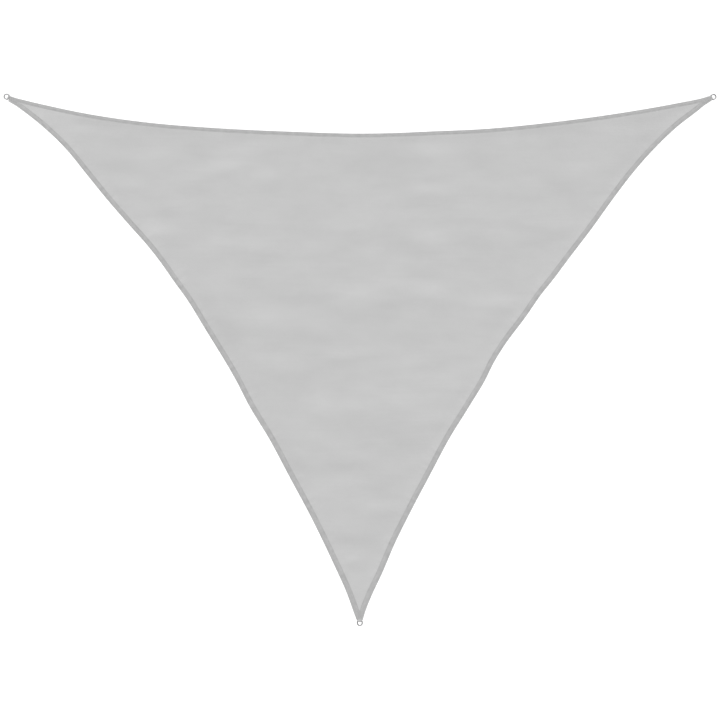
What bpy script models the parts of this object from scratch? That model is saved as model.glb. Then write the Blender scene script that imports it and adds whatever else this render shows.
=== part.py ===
"""A triangular shade sail spread out on a flat surface.

One panel of knitted cloth has three hollow edges. A binding is folded over each edge, and at each corner
a webbing tab holds a D-shaped steel ring. The sail lies with its underside on z = 0, its top edge along
+X and its foot towards -Y. All sizes are in metres.
"""

import math

import bmesh
import bpy
from mathutils import Vector
from mathutils.geometry import delaunay_2d_cdt

# Plan of the sail, between its corner points. The middle of their box lies a little off the origin, because
# the box of the whole part with its rings is centred there.
TOP_SPAN = 4.000
DROP = 2.978
MIDDLE = Vector((0.00055, -0.00245))

# Layers of the edge, from the surface up. Touching layers keep a fine gap.
GAP = 0.0003
CLOTH_THICK = 0.0012
BINDING_THICK = 0.0009
CLOTH_RISE = BINDING_THICK + GAP
EDGE_HEIGHT = 2 * (BINDING_THICK + GAP) + CLOTH_THICK
CLOTH_INSET = EDGE_HEIGHT / 2 + GAP

# The cloth slopes down to the surface between these two distances inside the bindings.
SLOPE_START = 0.002
SLOPE_END = 0.024

# Main creases of the cloth: low ridges with flat ground between them, where the cloth lies unevenly.
# Columns: middle, length, half of the width, height, turn in degrees from +X.
CREASES = (
    (-0.82, 1.04, 0.46, 0.058, 0.0034, 19),
    (-0.52, 1.01, 0.18, 0.050, 0.0024, 4),
    (-0.04, 0.73, 0.38, 0.060, 0.0030, 0),
    (0.41, 0.65, 0.22, 0.054, 0.0028, -6),
    (0.37, 1.16, 0.22, 0.050, 0.0024, -4),
    (0.38, 0.94, 0.32, 0.044, 0.0024, -4),
    (1.18, 1.04, 0.26, 0.060, 0.0026, 3),
    (0.00, 0.32, 0.34, 0.060, 0.0030, 2),
    (0.34, 0.365, 0.28, 0.056, 0.0032, -6),
    (0.80, 0.30, 0.26, 0.050, 0.0024, 4),
    (1.12, 0.75, 0.24, 0.054, 0.0022, 0),
    (-0.52, 0.21, 0.30, 0.058, 0.0026, -6),
    (-0.54, 0.63, 0.32, 0.054, 0.0020, 2),
    (-0.10, 0.01, 0.28, 0.044, 0.0020, 3),
    (-0.36, -0.05, 0.22, 0.050, 0.0020, -4),
    (0.12, -0.26, 0.80, 0.080, 0.0032, 8),
    (0.38, -0.36, 0.26, 0.056, 0.0020, -10),
    (-0.20, -0.50, 0.28, 0.050, 0.0018, -20),
    (-0.12, -0.73, 0.20, 0.044, 0.0018, 0),
    (0.10, -0.86, 0.18, 0.040, 0.0015, 4),
    (-0.06, -1.15, 0.14, 0.040, 0.0015, 4),
    (-1.36, 0.98, 0.24, 0.052, 0.0022, -4),
    (-1.15, 0.69, 0.22, 0.060, 0.0028, 8),
    (-1.06, 0.86, 0.18, 0.048, 0.0022, 0),
)

# A crease ends at this many times its length and width, and dies away towards the bindings' slope. Its points
# lie on rings (reach, number of points), and a crease longer than the step gets more of them.
CREASE_REACH = 1.6
CREASE_RINGS = ((0.0, 1), (0.35, 8), (0.7, 12), (1.0, 14))
CREASE_STEP = 0.30
CREASE_CLEAR = 0.015
CREASE_FADE = 0.080
CREASE_SPACING = 0.012

# Rings: wire bent to a D, its bow round the eye and its bar inside the tab.
WIRE_RADIUS = 0.003
BOW_RADIUS = 0.0137
EYE_TO_BAR = 0.0115
BEND_RADIUS = 0.0038
BOW_STEPS = 18
BEND_STEPS = 3
WIRE_SIDES = 12

# Corners: the tab round the ring's bar, its two legs on the faces of the corner.
TAB_WIDTH = 0.0206
TAB_THICK = 0.0014
TAB_END = 0.070
TAB_LOOP_STEPS = 10
BAR_HEIGHT = WIRE_RADIUS + GAP + TAB_THICK

# Upper leg behind the bar: distance from the eye, share of the way down from the loop to the corner.
UPPER_LEG = ((0.0155, 0.16), (0.020, 0.60), (0.026, 0.95), (0.030, 1.0), (TAB_END, 1.0))

# Cloth and bindings are cut off this far from the corner point.
TIP_CUT = 0.0175

# Where two bindings meet at the tip: how far to the left of the corner's line, and each binding's own width.
MITRES = {
    "left": (-0.0018, 0.0155),
    "right": (-0.0009, 0.0144),
    "foot": (0.0015, 0.0156),
}

# The lower leg lifts the corner by its thickness, and the lift dies away at this distance from its point.
LIFT = TAB_THICK + GAP
LIFT_END = 0.600

# Stations along each edge, and how much closer together they are at its ends.
STATIONS = 50
CROWDING = 0.55
SLOPE_STEP = 0.0005

# Corner points, and the direction from each into the cloth in degrees from +X.
CORNERS = {
    "left": (MIDDLE + Vector((-TOP_SPAN / 2, DROP / 2)), -24.0),
    "right": (MIDDLE + Vector((TOP_SPAN / 2, DROP / 2)), 204.0),
    "foot": (MIDDLE + Vector((0.0, -DROP / 2)), 92.0),
}

# Eye of each ring, sewn a little off its corner point.
EYES = {
    "left": Vector((-1.9998, 1.4895)),
    "right": Vector((1.9998, 1.4879)),
    "foot": Vector((-0.0012, -1.4895)),
}

# Edges in clockwise order: corner at the start, corner at the end, width of the binding at each.
EDGES = {
    "top": ("left", "right", 0.0215, 0.0225),
    "right": ("right", "foot", 0.0275, 0.0330),
    "left": ("foot", "left", 0.0330, 0.0265),
}

# How far each edge is drawn in from the straight line between its corner points, uneven as sewn.
# Columns: share of the way from the start corner to the end corner, draw in metres.
EDGE_DRAW = {
    "top": (
        (0.0073, -0.003), (0.0115, 0.0028), (0.02, 0.0122), (0.03, 0.0222), (0.04, 0.0318), (0.06, 0.050),
        (0.10, 0.084), (0.15, 0.118), (0.20, 0.144), (0.30, 0.176), (0.40, 0.195), (0.50, 0.206),
        (0.54, 0.204), (0.60, 0.194), (0.68, 0.179), (0.76, 0.148), (0.84, 0.107), (0.92, 0.056),
        (0.96, 0.026), (0.973, 0.0160), (0.985, 0.0047), (0.9927, -0.005),
    ),
    "right": (
        (0.0082, 0.0008), (0.015, 0.0110), (0.02, 0.0185), (0.03, 0.0295), (0.04, 0.041), (0.06, 0.066),
        (0.12, 0.116), (0.17, 0.140), (0.22, 0.151), (0.28, 0.158), (0.34, 0.171), (0.38, 0.178),
        (0.41, 0.187), (0.45, 0.189), (0.51, 0.199), (0.54, 0.195), (0.57, 0.181), (0.62, 0.172),
        (0.68, 0.164), (0.74, 0.142), (0.82, 0.111), (0.86, 0.092), (0.92, 0.052), (0.95, 0.036),
        (0.98, 0.013), (0.9918, 0.000),
    ),
    "left": (
        (0.0082, -0.005), (0.02, 0.005), (0.035, 0.0190), (0.05, 0.032), (0.10, 0.063), (0.18, 0.104),
        (0.26, 0.133), (0.32, 0.155), (0.38, 0.165), (0.43, 0.185), (0.52, 0.201), (0.58, 0.209),
        (0.61, 0.205), (0.65, 0.202), (0.68, 0.194), (0.73, 0.170), (0.78, 0.148), (0.83, 0.132),
        (0.88, 0.115), (0.94, 0.066), (0.965, 0.0367), (0.98, 0.017), (0.9918, -0.003),
    ),
}

# Finishes: colour, roughness, metallic.
FINISHES = {
    "cloth": ((0.57, 0.57, 0.57), 0.85, 0.0),
    "binding": ((0.47, 0.47, 0.47), 0.80, 0.0),
    "webbing": ((0.45, 0.45, 0.45), 0.75, 0.0),
    "steel": ((0.72, 0.72, 0.73), 0.25, 1.0),
}


def clear_scene():
    """Remove every object of the scene."""
    for item in list(bpy.data.objects):
        bpy.data.objects.remove(item, do_unlink=True)


def make_finish(name):
    """Make the material of one finish."""
    colour, roughness, metallic = FINISHES[name]
    material = bpy.data.materials.new(name)
    material.use_nodes = True
    shader = material.node_tree.nodes["Principled BSDF"]
    shader.inputs["Base Color"].default_value = (*colour, 1.0)
    shader.inputs["Roughness"].default_value = roughness
    shader.inputs["Metallic"].default_value = metallic
    return material


def add_mesh_object(name, shape, finish):
    """Turn a finished bmesh into a named object with its finish."""
    mesh = bpy.data.meshes.new(name)
    shape.to_mesh(mesh)
    shape.free()
    mesh.materials.append(finish)
    item = bpy.data.objects.new(name, mesh)
    bpy.context.scene.collection.objects.link(item)
    return item


def ease(share):
    """A soft step from 0 to 1."""
    share = min(max(share, 0.0), 1.0)
    return share * share * (3 - 2 * share)


def smooth_value(table, at):
    """Read a table of (place, value) along one smooth curve through its rows."""
    last = len(table) - 1
    slopes = []
    for row in range(last + 1):
        before, after = max(row - 1, 0), min(row + 1, last)
        if before == row or after == row:
            slopes.append((table[after][1] - table[before][1]) / (table[after][0] - table[before][0]))
            continue
        rise_in = (table[row][1] - table[before][1]) / (table[row][0] - table[before][0])
        rise_out = (table[after][1] - table[row][1]) / (table[after][0] - table[row][0])
        lean = (table[row][0] - table[before][0]) / (table[after][0] - table[before][0])
        slopes.append(rise_in * (1 - lean) + rise_out * lean)
    row = 0
    while row < last - 1 and at > table[row + 1][0]:
        row += 1
    step = table[row + 1][0] - table[row][0]
    t = (at - table[row][0]) / step
    start, end = table[row][1], table[row + 1][1]
    bend = start * (2 * t**3 - 3 * t**2 + 1) + end * (3 * t**2 - 2 * t**3)
    return bend + step * (slopes[row] * (t**3 - 2 * t**2 + t) + slopes[row + 1] * (t**3 - t**2))


def inward(corner):
    """Unit direction from a corner into the cloth."""
    angle = math.radians(CORNERS[corner][1])
    return Vector((math.cos(angle), math.sin(angle)))


def along_and_aside(corner, point):
    """Distance of a point into the cloth from a corner point, and to the left of that line."""
    aim = inward(corner)
    offset = point - CORNERS[corner][0]
    return offset.dot(aim), offset.dot(Vector((-aim.y, aim.x)))


def edge_point(edge, share, inset):
    """A point of the sail's edge, moved into the cloth by the inset."""
    start, end = CORNERS[EDGES[edge][0]][0], CORNERS[EDGES[edge][1]][0]
    chord = end - start
    into = Vector((chord.y, -chord.x)).normalized()
    table = EDGE_DRAW[edge]
    ahead, behind = smooth_value(table, share + SLOPE_STEP), smooth_value(table, share - SLOPE_STEP)
    rise = (ahead - behind) / (2 * SLOPE_STEP)
    tangent = (chord + into * rise).normalized()
    on_edge = start + chord * share + into * smooth_value(table, share)
    return on_edge + Vector((tangent.y, -tangent.x)) * inset


def trimmed_share(edge, at_start, inset, half_gap):
    """Share of the edge where it is trimmed: at the tip's cut, or at the mitre with the next edge."""
    corner = EDGES[edge][0] if at_start else EDGES[edge][1]
    side = 1 if at_start else -1
    outer, inner = (0.0, 0.2) if at_start else (1.0, 0.8)
    for _ in range(40):
        middle = (outer + inner) / 2
        along, aside = along_and_aside(corner, edge_point(edge, middle, inset))
        if along < TIP_CUT or (aside - MITRES[corner][0]) * side < half_gap:
            outer = middle
        else:
            inner = middle
    return inner


def inset_row(edge, inset_start, inset_end, half_gap=0.0):
    """Points along an edge at an inset, from trim to trim, closer together near the corners."""
    first = trimmed_share(edge, True, inset_start, half_gap)
    last = trimmed_share(edge, False, inset_end, half_gap)
    row = []
    for station in range(STATIONS + 1):
        even = station / STATIONS
        spread = even - CROWDING * math.sin(2 * math.pi * even) / (2 * math.pi)
        inset = inset_start + (inset_end - inset_start) * spread
        row.append(edge_point(edge, first + (last - first) * spread, inset))
    return row


def corner_lift(point):
    """Height that the tab under a corner lifts the layers above it."""
    lift = 0.0
    for corner in CORNERS:
        along, _ = along_and_aside(corner, point)
        lift += LIFT * ease((LIFT_END - along) / (LIFT_END - TAB_END))
    return lift


def raised(point, height):
    """A plan point as a point in space, with the corner's lift."""
    return Vector((point.x, point.y, height + corner_lift(point)))


def cloth_loops():
    """Rows on the cloth's underside, by edge: its own rim, the bindings' inner edge, the slope's foot."""
    loops = []
    for beyond, height in ((None, CLOTH_RISE), (SLOPE_START, CLOTH_RISE), (SLOPE_END, 0.0)):
        rows = []
        for edge, (_, _, width_start, width_end) in EDGES.items():
            if beyond is None:
                rows.append(inset_row(edge, CLOTH_INSET, CLOTH_INSET))
            else:
                rows.append(inset_row(edge, width_start + beyond, width_end + beyond))
        if beyond is not None:
            for here, after in ((0, 1), (1, 2), (2, 0)):
                mitre = (rows[here][-1] + rows[after][0]) / 2
                rows[here][-1] = mitre
                rows[after][0] = mitre
        loops.append([[raised(point, height) for point in row] for row in rows])
    return loops


def rim_distance(point, rim):
    """Distance of a plan point inside a closed rim from that rim, or a negative one outside it."""
    nearest, inside = 10.0, False
    for start, end in zip(rim, rim[1:] + rim[:1]):
        side = end - start
        share = min(max((point - start).dot(side) / side.length_squared, 0.0), 1.0)
        nearest = min(nearest, (start + side * share - point).length)
        if (start.y > point.y) != (end.y > point.y):
            if point.x < start.x + (point.y - start.y) * side.x / side.y:
                inside = not inside
    return nearest if inside else -nearest


def crease_frame(crease):
    """Middle of a crease, and its two half axes out to where it ends."""
    x, y, length, half_width, _, turn = crease
    lengthwise = Vector((math.cos(math.radians(turn)), math.sin(math.radians(turn))))
    across = Vector((-lengthwise.y, lengthwise.x))
    return Vector((x, y)), lengthwise * (CREASE_REACH * length / 2), across * (CREASE_REACH * half_width)


def crease_height(point):
    """Height that the creases lift the cloth at a plan point."""
    height = 0.0
    for crease in CREASES:
        middle, long_axis, short_axis = crease_frame(crease)
        along = (point - middle).dot(long_axis) / long_axis.length_squared
        aside = (point - middle).dot(short_axis) / short_axis.length_squared
        height += crease[4] * max(1 - along**2 - aside**2, 0.0) ** 2
    return height


def ground_points(rim):
    """Points (plan point, height) of the creases inside the slope's foot, well apart from one another."""
    points = []
    for crease in CREASES:
        middle, long_axis, short_axis = crease_frame(crease)
        finer = max(crease[2] / CREASE_STEP, 1.0)
        for reach, few in CREASE_RINGS:
            count = round(few * finer) if reach else 1
            for k in range(count):
                turn = 2 * math.pi * (k + 0.5 * (reach == 0.7)) / count
                point = middle + long_axis * (reach * math.cos(turn)) + short_axis * (reach * math.sin(turn))
                room = rim_distance(point, rim)
                if room < CREASE_CLEAR or any((point - p).length < CREASE_SPACING for p, _ in points):
                    continue
                fade = ease((room - CREASE_CLEAR) / (CREASE_FADE - CREASE_CLEAR))
                points.append((point, crease_height(point) * fade))
    return points


def ground_triangles(slope_rows):
    """Triangles of the panel inside the slope's foot, as points in space."""
    foot = [point for row in slope_rows for point in row[:-1]]
    rim = [point.xy for point in foot]
    inner = [raised(point, height) for point, height in ground_points(rim)]
    corners = foot + inner
    plan = [point.xy for point in corners]
    _, _, faces, origins, _, _ = delaunay_2d_cdt(plan, [], [list(range(len(foot)))], 1, 1e-7)
    return [[corners[origins[k][0]] for k in face] for face in faces]


def build_cloth(finish):
    """The panel: raised over the bindings' lower layers, and inside them on the surface but for its creases."""
    shape = bmesh.new()
    rim_rows, inner_rows, slope_rows = cloth_loops()
    made = {}

    def vertex(point):
        key = tuple(round(value, 7) for value in point)
        if key not in made:
            made[key] = shape.verts.new(point)
        return made[key]

    for outer_rows, next_rows in ((rim_rows, inner_rows), (inner_rows, slope_rows)):
        for row, after in zip(outer_rows, next_rows):
            for k in range(STATIONS):
                shape.faces.new([vertex(p) for p in (row[k], row[k + 1], after[k + 1], after[k])])
    for here, after in ((0, 1), (1, 2), (2, 0)):
        tip = (rim_rows[here][-1], rim_rows[after][0], inner_rows[here][-1])
        shape.faces.new([vertex(p) for p in tip])
    for corners in ground_triangles(slope_rows):
        shape.faces.new([vertex(p) for p in corners])
    bmesh.ops.triangulate(shape, faces=shape.faces[:])
    bmesh.ops.recalc_face_normals(shape, faces=shape.faces[:])
    thickened = bmesh.ops.extrude_face_region(shape, geom=shape.faces[:])
    top = [part for part in thickened["geom"] if isinstance(part, bmesh.types.BMVert)]
    bmesh.ops.translate(shape, verts=top, vec=(0, 0, CLOTH_THICK))
    bmesh.ops.recalc_face_normals(shape, faces=shape.faces[:])
    return add_mesh_object("sail_cloth", shape, finish)


def binding_profile(width, mitre_inset):
    """Pairs of outer and inner points (inset, height) round the folded strip, from below to above."""
    outer_radius = EDGE_HEIGHT / 2
    inner_radius = outer_radius - BINDING_THICK
    pairs = [((inset, 0.0), (inset, BINDING_THICK)) for inset in (width, mitre_inset)]
    for turn in (-90, -45, 0, 45, 90):
        back, up = math.cos(math.radians(turn)), math.sin(math.radians(turn))
        outer = (outer_radius * (1 - back), outer_radius * (1 + up))
        inner = (outer_radius - inner_radius * back, outer_radius + inner_radius * up)
        pairs.append((outer, inner))
    for inset in (mitre_inset, width):
        pairs.append(((inset, EDGE_HEIGHT), (inset, EDGE_HEIGHT - BINDING_THICK)))
    return pairs


def build_binding(edge, finish):
    """A strip folded over one edge of the cloth, mitred against its neighbours at the corners."""
    start, end, width_start, width_end = EDGES[edge]
    start_profile = binding_profile(width_start, MITRES[start][1])
    end_profile = binding_profile(width_end, MITRES[end][1])
    shape = bmesh.new()
    rows = []
    for start_pair, end_pair in zip(start_profile, end_profile):
        for (inset_start, height), (inset_end, _) in zip(start_pair, end_pair):
            row = inset_row(edge, inset_start, inset_end, GAP / 2)
            rows.append([shape.verts.new(raised(point, height)) for point in row])
    outer, inner = rows[0::2], rows[1::2]
    ring = outer + inner[::-1]
    for row, after in zip(ring, ring[1:] + ring[:1]):
        for k in range(STATIONS):
            shape.faces.new((row[k], row[k + 1], after[k + 1], after[k]))
    for k in (0, STATIONS):
        for pair in range(len(outer) - 1):
            shape.faces.new((outer[pair][k], outer[pair + 1][k], inner[pair + 1][k], inner[pair][k]))
    bmesh.ops.recalc_face_normals(shape, faces=shape.faces[:])
    return add_mesh_object("binding_" + edge, shape, finish)


def place_at_corner(corner, along, aside, height):
    """A point given from a ring's eye: into the cloth, to the left of that line, and up."""
    aim = inward(corner)
    plan = EYES[corner] + aim * along + Vector((-aim.y, aim.x)) * aside
    return Vector((plan.x, plan.y, height))


def tab_outline():
    """Side outline (along, height) of the tab: both legs and the loop round the bar, as pairs."""
    leg_top = LIFT + EDGE_HEIGHT + GAP + TAB_THICK
    outer_radius = BAR_HEIGHT
    inner_radius = BAR_HEIGHT - TAB_THICK
    pairs = [((TAB_END, 0.0), (TAB_END, TAB_THICK))]
    for step in range(TAB_LOOP_STEPS + 1):
        turn = math.pi * (1.5 - step / TAB_LOOP_STEPS)
        back, up = math.cos(turn), math.sin(turn)
        outer = (EYE_TO_BAR + outer_radius * back, BAR_HEIGHT + outer_radius * up)
        inner = (EYE_TO_BAR + inner_radius * back, BAR_HEIGHT + inner_radius * up)
        pairs.append((outer, inner))
    for along, share in UPPER_LEG:
        top = 2 * BAR_HEIGHT + (leg_top - 2 * BAR_HEIGHT) * share
        pairs.append(((along, top), (along, top - TAB_THICK)))
    return pairs


def build_tab(corner, finish):
    """Webbing passed round the ring's bar, one leg on the surface and one on top of the corner."""
    shape = bmesh.new()
    pairs = tab_outline()
    sides = []
    for aside in (-TAB_WIDTH / 2, TAB_WIDTH / 2):
        outer = [shape.verts.new(place_at_corner(corner, p[0][0], aside, p[0][1])) for p in pairs]
        inner = [shape.verts.new(place_at_corner(corner, p[1][0], aside, p[1][1])) for p in pairs]
        for k in range(len(pairs) - 1):
            shape.faces.new((outer[k], outer[k + 1], inner[k + 1], inner[k]))
        sides.append(outer + inner[::-1])
    near, far = sides
    for k in range(len(near)):
        after = (k + 1) % len(near)
        shape.faces.new((near[k], near[after], far[after], far[k]))
    bmesh.ops.recalc_face_normals(shape, faces=shape.faces[:])
    return add_mesh_object("tab_" + corner, shape, finish)


def ring_path():
    """Centre line (along, aside) of the wire: bow round the eye, two sides, and the bar with its bends."""
    path = []
    for step in range(BOW_STEPS + 1):
        turn = math.pi * (0.5 + step / BOW_STEPS)
        path.append((BOW_RADIUS * math.cos(turn), BOW_RADIUS * math.sin(turn)))
    path.append((0.5 * (EYE_TO_BAR - BEND_RADIUS), -BOW_RADIUS))
    centre_along, centre_aside = EYE_TO_BAR - BEND_RADIUS, BOW_RADIUS - BEND_RADIUS
    for side in (-1, 1):
        bend = []
        for step in range(BEND_STEPS + 1):
            turn = math.pi / 2 * step / BEND_STEPS
            along = centre_along + BEND_RADIUS * math.sin(turn)
            bend.append((along, side * (centre_aside + BEND_RADIUS * math.cos(turn))))
        path += bend if side < 0 else bend[::-1]
    path.append((0.5 * (EYE_TO_BAR - BEND_RADIUS), BOW_RADIUS))
    return path


def build_ring(corner, finish):
    """Wire swept along the D. Its bar lies in the tab and the far end of its bow on the surface."""
    curve = bpy.data.curves.new("ring_" + corner, "CURVE")
    curve.dimensions = "3D"
    curve.bevel_depth = WIRE_RADIUS
    curve.bevel_resolution = (WIRE_SIDES - 4) // 2
    path = ring_path()
    spline = curve.splines.new("POLY")
    spline.points.add(len(path) - 1)
    spline.use_cyclic_u = True
    reach = EYE_TO_BAR + BOW_RADIUS
    fall = (BAR_HEIGHT - WIRE_RADIUS) / reach
    for knot, (along, aside) in zip(spline.points, path):
        height = BAR_HEIGHT - fall * (EYE_TO_BAR - along)
        knot.co = (*place_at_corner(corner, along, aside, height), 1.0)
    curve.materials.append(finish)
    item = bpy.data.objects.new("ring_" + corner, curve)
    bpy.context.scene.collection.objects.link(item)
    return item


def main():
    clear_scene()
    finishes = {name: make_finish(name) for name in FINISHES}
    build_cloth(finishes["cloth"])
    for edge in EDGES:
        build_binding(edge, finishes["binding"])
    for corner in CORNERS:
        build_tab(corner, finishes["webbing"])
        build_ring(corner, finishes["steel"])


main()
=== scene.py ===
# %% [markdown]
# # A triangular shade sail, spread out flat
#
# A shade sail is one panel of knitted cloth with three hollow edges. A folded tape binds each edge, and
# a short length of webbing holds a steel ring at each corner. This lesson dresses the plain solids of
# such a sail: every piece is modelled again with its thickness, its sewing and its own finish.
#
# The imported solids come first. They are never moved or changed, so they tell where each piece goes.
# All sizes are in metres, X runs along the top edge, Y towards it from the foot, and the sail lies on z = 0.

# %% Load the solids
import math

import bmesh
import bpy
import numpy as np
from mathutils import Matrix, Vector, geometry, noise


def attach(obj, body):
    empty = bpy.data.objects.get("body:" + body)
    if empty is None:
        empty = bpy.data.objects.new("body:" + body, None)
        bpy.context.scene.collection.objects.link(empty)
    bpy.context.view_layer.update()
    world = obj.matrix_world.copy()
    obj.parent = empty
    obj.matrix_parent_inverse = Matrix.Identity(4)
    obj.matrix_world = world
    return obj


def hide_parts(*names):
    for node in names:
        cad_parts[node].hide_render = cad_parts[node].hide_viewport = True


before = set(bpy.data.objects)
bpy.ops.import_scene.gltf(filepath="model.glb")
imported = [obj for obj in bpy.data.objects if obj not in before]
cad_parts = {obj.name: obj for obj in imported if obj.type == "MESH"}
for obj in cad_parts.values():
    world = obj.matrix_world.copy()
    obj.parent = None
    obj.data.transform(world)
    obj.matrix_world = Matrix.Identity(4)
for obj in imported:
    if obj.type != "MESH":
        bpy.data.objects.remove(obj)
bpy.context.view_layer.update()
print("solids:", ", ".join(sorted(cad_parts)))

# %% [markdown]
# ## The camera
#
# The picture looks straight down on the sail and shows hardly any perspective, so the camera stands far
# above it with a long lens. The lens follows from the width that the frame has to take in: at a distance
# d, a sensor of width s sees s * d / lens. A camera without any rotation already looks down, with +Y up.

# %% Set up the camera
CAMERA_HEIGHT = 12.0
FRAME_WIDTH = 4.0745
FRAME_CENTRE = (-0.00005, -0.00105)
SENSOR = 36.0


def new_object(name, data):
    """Link a new object that holds a camera, a light or a mesh."""
    item = bpy.data.objects.new(name, data)
    bpy.context.scene.collection.objects.link(item)
    return item


camera_data = bpy.data.cameras.new("camera")
camera_data.sensor_width = SENSOR
camera_data.lens = SENSOR * CAMERA_HEIGHT / FRAME_WIDTH
camera = new_object("camera", camera_data)
camera.location = (*FRAME_CENTRE, CAMERA_HEIGHT)
bpy.context.scene.camera = camera
print("lens:", round(camera_data.lens, 1), "mm")

# %% [markdown]
# ## The outline
#
# Each edge is sewn a little unevenly, so its curve is a table: how far the edge is drawn in from the
# straight line between its two corner points, at some places along it. A smooth curve is read through the
# table. Everything else on the sail is placed from these three curves, by the distance run along an edge
# and the distance into the cloth. The rings are sewn a few millimetres off the corner points.

# %% Outline tables
TOP_SPAN = 4.000
DROP = 2.978
MIDDLE = (0.00055, -0.00245)

# Corner points, the direction from each into the cloth in degrees from +X, and how far to the left of that
# line the tapes meet.
CORNERS = {
    "left": ((MIDDLE[0] - TOP_SPAN / 2, MIDDLE[1] + DROP / 2), -24.0, -0.0018),
    "right": ((MIDDLE[0] + TOP_SPAN / 2, MIDDLE[1] + DROP / 2), 204.0, -0.0009),
    "foot": ((MIDDLE[0], MIDDLE[1] - DROP / 2), 92.0, 0.0015),
}

# Eye of each ring.
EYES = {"left": (-1.9998, 1.4895), "right": (1.9998, 1.4879), "foot": (-0.0012, -1.4895)}

# Corner at the start, corner at the end, width of the tape at each. The edges run clockwise.
EDGES = {
    "top": ("left", "right", 0.0215, 0.0225),
    "right": ("right", "foot", 0.0275, 0.0330),
    "left": ("foot", "left", 0.0330, 0.0265),
}
NUMBER = {name: k for k, name in enumerate(EDGES)}

# Places along each edge, as shares of its straight length, and how far the edge is drawn in there.
EDGE_DRAW = {
    "top": (
        (0.0073, -0.003), (0.0115, 0.0028), (0.02, 0.0122), (0.03, 0.0222), (0.04, 0.0318), (0.06, 0.050),
        (0.10, 0.084), (0.15, 0.118), (0.20, 0.144), (0.30, 0.176), (0.40, 0.195), (0.50, 0.206),
        (0.54, 0.204), (0.60, 0.194), (0.68, 0.179), (0.76, 0.148), (0.84, 0.107), (0.92, 0.056),
        (0.96, 0.026), (0.973, 0.0160), (0.985, 0.0047), (0.9927, -0.005),
    ),
    "right": (
        (0.0082, 0.0008), (0.015, 0.0110), (0.02, 0.0185), (0.03, 0.0295), (0.04, 0.041), (0.06, 0.066),
        (0.12, 0.116), (0.17, 0.140), (0.22, 0.151), (0.28, 0.158), (0.34, 0.171), (0.38, 0.178),
        (0.41, 0.187), (0.45, 0.189), (0.51, 0.199), (0.54, 0.195), (0.57, 0.181), (0.62, 0.172),
        (0.68, 0.164), (0.74, 0.142), (0.82, 0.111), (0.86, 0.092), (0.92, 0.052), (0.95, 0.036),
        (0.98, 0.013), (0.9918, 0.000),
    ),
    "left": (
        (0.0082, -0.005), (0.02, 0.005), (0.035, 0.0190), (0.05, 0.032), (0.10, 0.063), (0.18, 0.104),
        (0.26, 0.133), (0.32, 0.155), (0.38, 0.165), (0.43, 0.185), (0.52, 0.201), (0.58, 0.209),
        (0.61, 0.205), (0.65, 0.202), (0.68, 0.194), (0.73, 0.170), (0.78, 0.148), (0.83, 0.132),
        (0.88, 0.115), (0.94, 0.066), (0.965, 0.0367), (0.98, 0.017), (0.9918, -0.003),
    ),
}
print("edges:", ", ".join(EDGES))


# %% Read a table along a smooth curve
def ease(share):
    """A soft step from 0 to 1, for numbers and arrays."""
    share = np.clip(share, 0.0, 1.0)
    return share * share * (3 - 2 * share)


def smooth_curve(table, at):
    """Values of one smooth curve through a table of (place, value), read at many places."""
    place, value = np.array(table).T
    step = np.diff(place)
    slope = np.diff(value) / step
    lean = step[:-1] / (step[:-1] + step[1:])
    slopes = np.concatenate(([slope[0]], slope[:-1] * (1 - lean) + slope[1:] * lean, [slope[-1]]))
    row = np.clip(np.searchsorted(place, at) - 1, 0, len(step) - 1)
    t = (at - place[row]) / step[row]
    bend = value[row] * (2 * t**3 - 3 * t**2 + 1) + value[row + 1] * (3 * t**2 - 2 * t**3)
    return bend + step[row] * (slopes[row] * (t**3 - 2 * t**2 + t) + slopes[row + 1] * (t**3 - t**2))


def travel(points):
    """Length run along a line of points, at each of them."""
    return np.concatenate(([0.0], np.cumsum(np.linalg.norm(np.diff(points, axis=0), axis=1))))


def unit(rows):
    """Rows of vectors, each brought to length 1."""
    return rows / np.linalg.norm(rows, axis=1)[:, None]


def axes(degrees):
    """A direction in plan, and the direction to the left of it."""
    cos, sin = math.cos(math.radians(degrees)), math.sin(math.radians(degrees))
    return np.array((cos, sin)), np.array((-sin, cos))


def along_and_aside(points, origin, degrees):
    """Distance of plan points from an origin along a direction, and to the left of it."""
    aim, left = axes(degrees)
    away = points - np.array(origin)
    return away @ aim, away @ left


# %% Lay out the three edge lines
TIP_CUT = 0.0175
SLOPE_STEP = 0.0005
LINE_POINTS = 6001
SPARE = 0.003


def chord_of(edge):
    """Corner point at the start of an edge, and the straight way from there to its end."""
    start, end = (np.array(CORNERS[name][0]) for name in EDGES[edge][:2])
    return start, end - start


def edge_line(edge):
    """Points, inward normals and run of one edge, with the room before the mitre with its neighbours."""
    start, chord = chord_of(edge)
    into = np.array((chord[1], -chord[0])) / np.linalg.norm(chord)
    share = np.linspace(SPARE, 1 - SPARE, LINE_POINTS)
    table = EDGE_DRAW[edge]
    rise = smooth_curve(table, share + SLOPE_STEP) - smooth_curve(table, share - SLOPE_STEP)
    tangent = unit(chord + into * (rise / (2 * SLOPE_STEP))[:, None])
    points = start + chord * share[:, None] + into * smooth_curve(table, share)[:, None]
    normals = np.stack((tangent[:, 1], -tangent[:, 0]), axis=1)
    run = travel(points)
    half = LINE_POINTS // 2
    room, cuts = [], []
    for name, part in ((EDGES[edge][0], slice(0, half)), (EDGES[edge][1], slice(-1, half - 1, -1))):
        corner, degrees, mitre = CORNERS[name]
        along, aside = along_and_aside(points, corner, degrees)
        room.append((mitre - aside) / (normals @ axes(degrees)[1]))
        cuts.append(float(np.interp(TIP_CUT, along[part], run[part])))
    line = {"run": run - cuts[0], "points": points, "normals": normals, "room": np.minimum(*room)}
    return line, cuts[1] - cuts[0]


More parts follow.
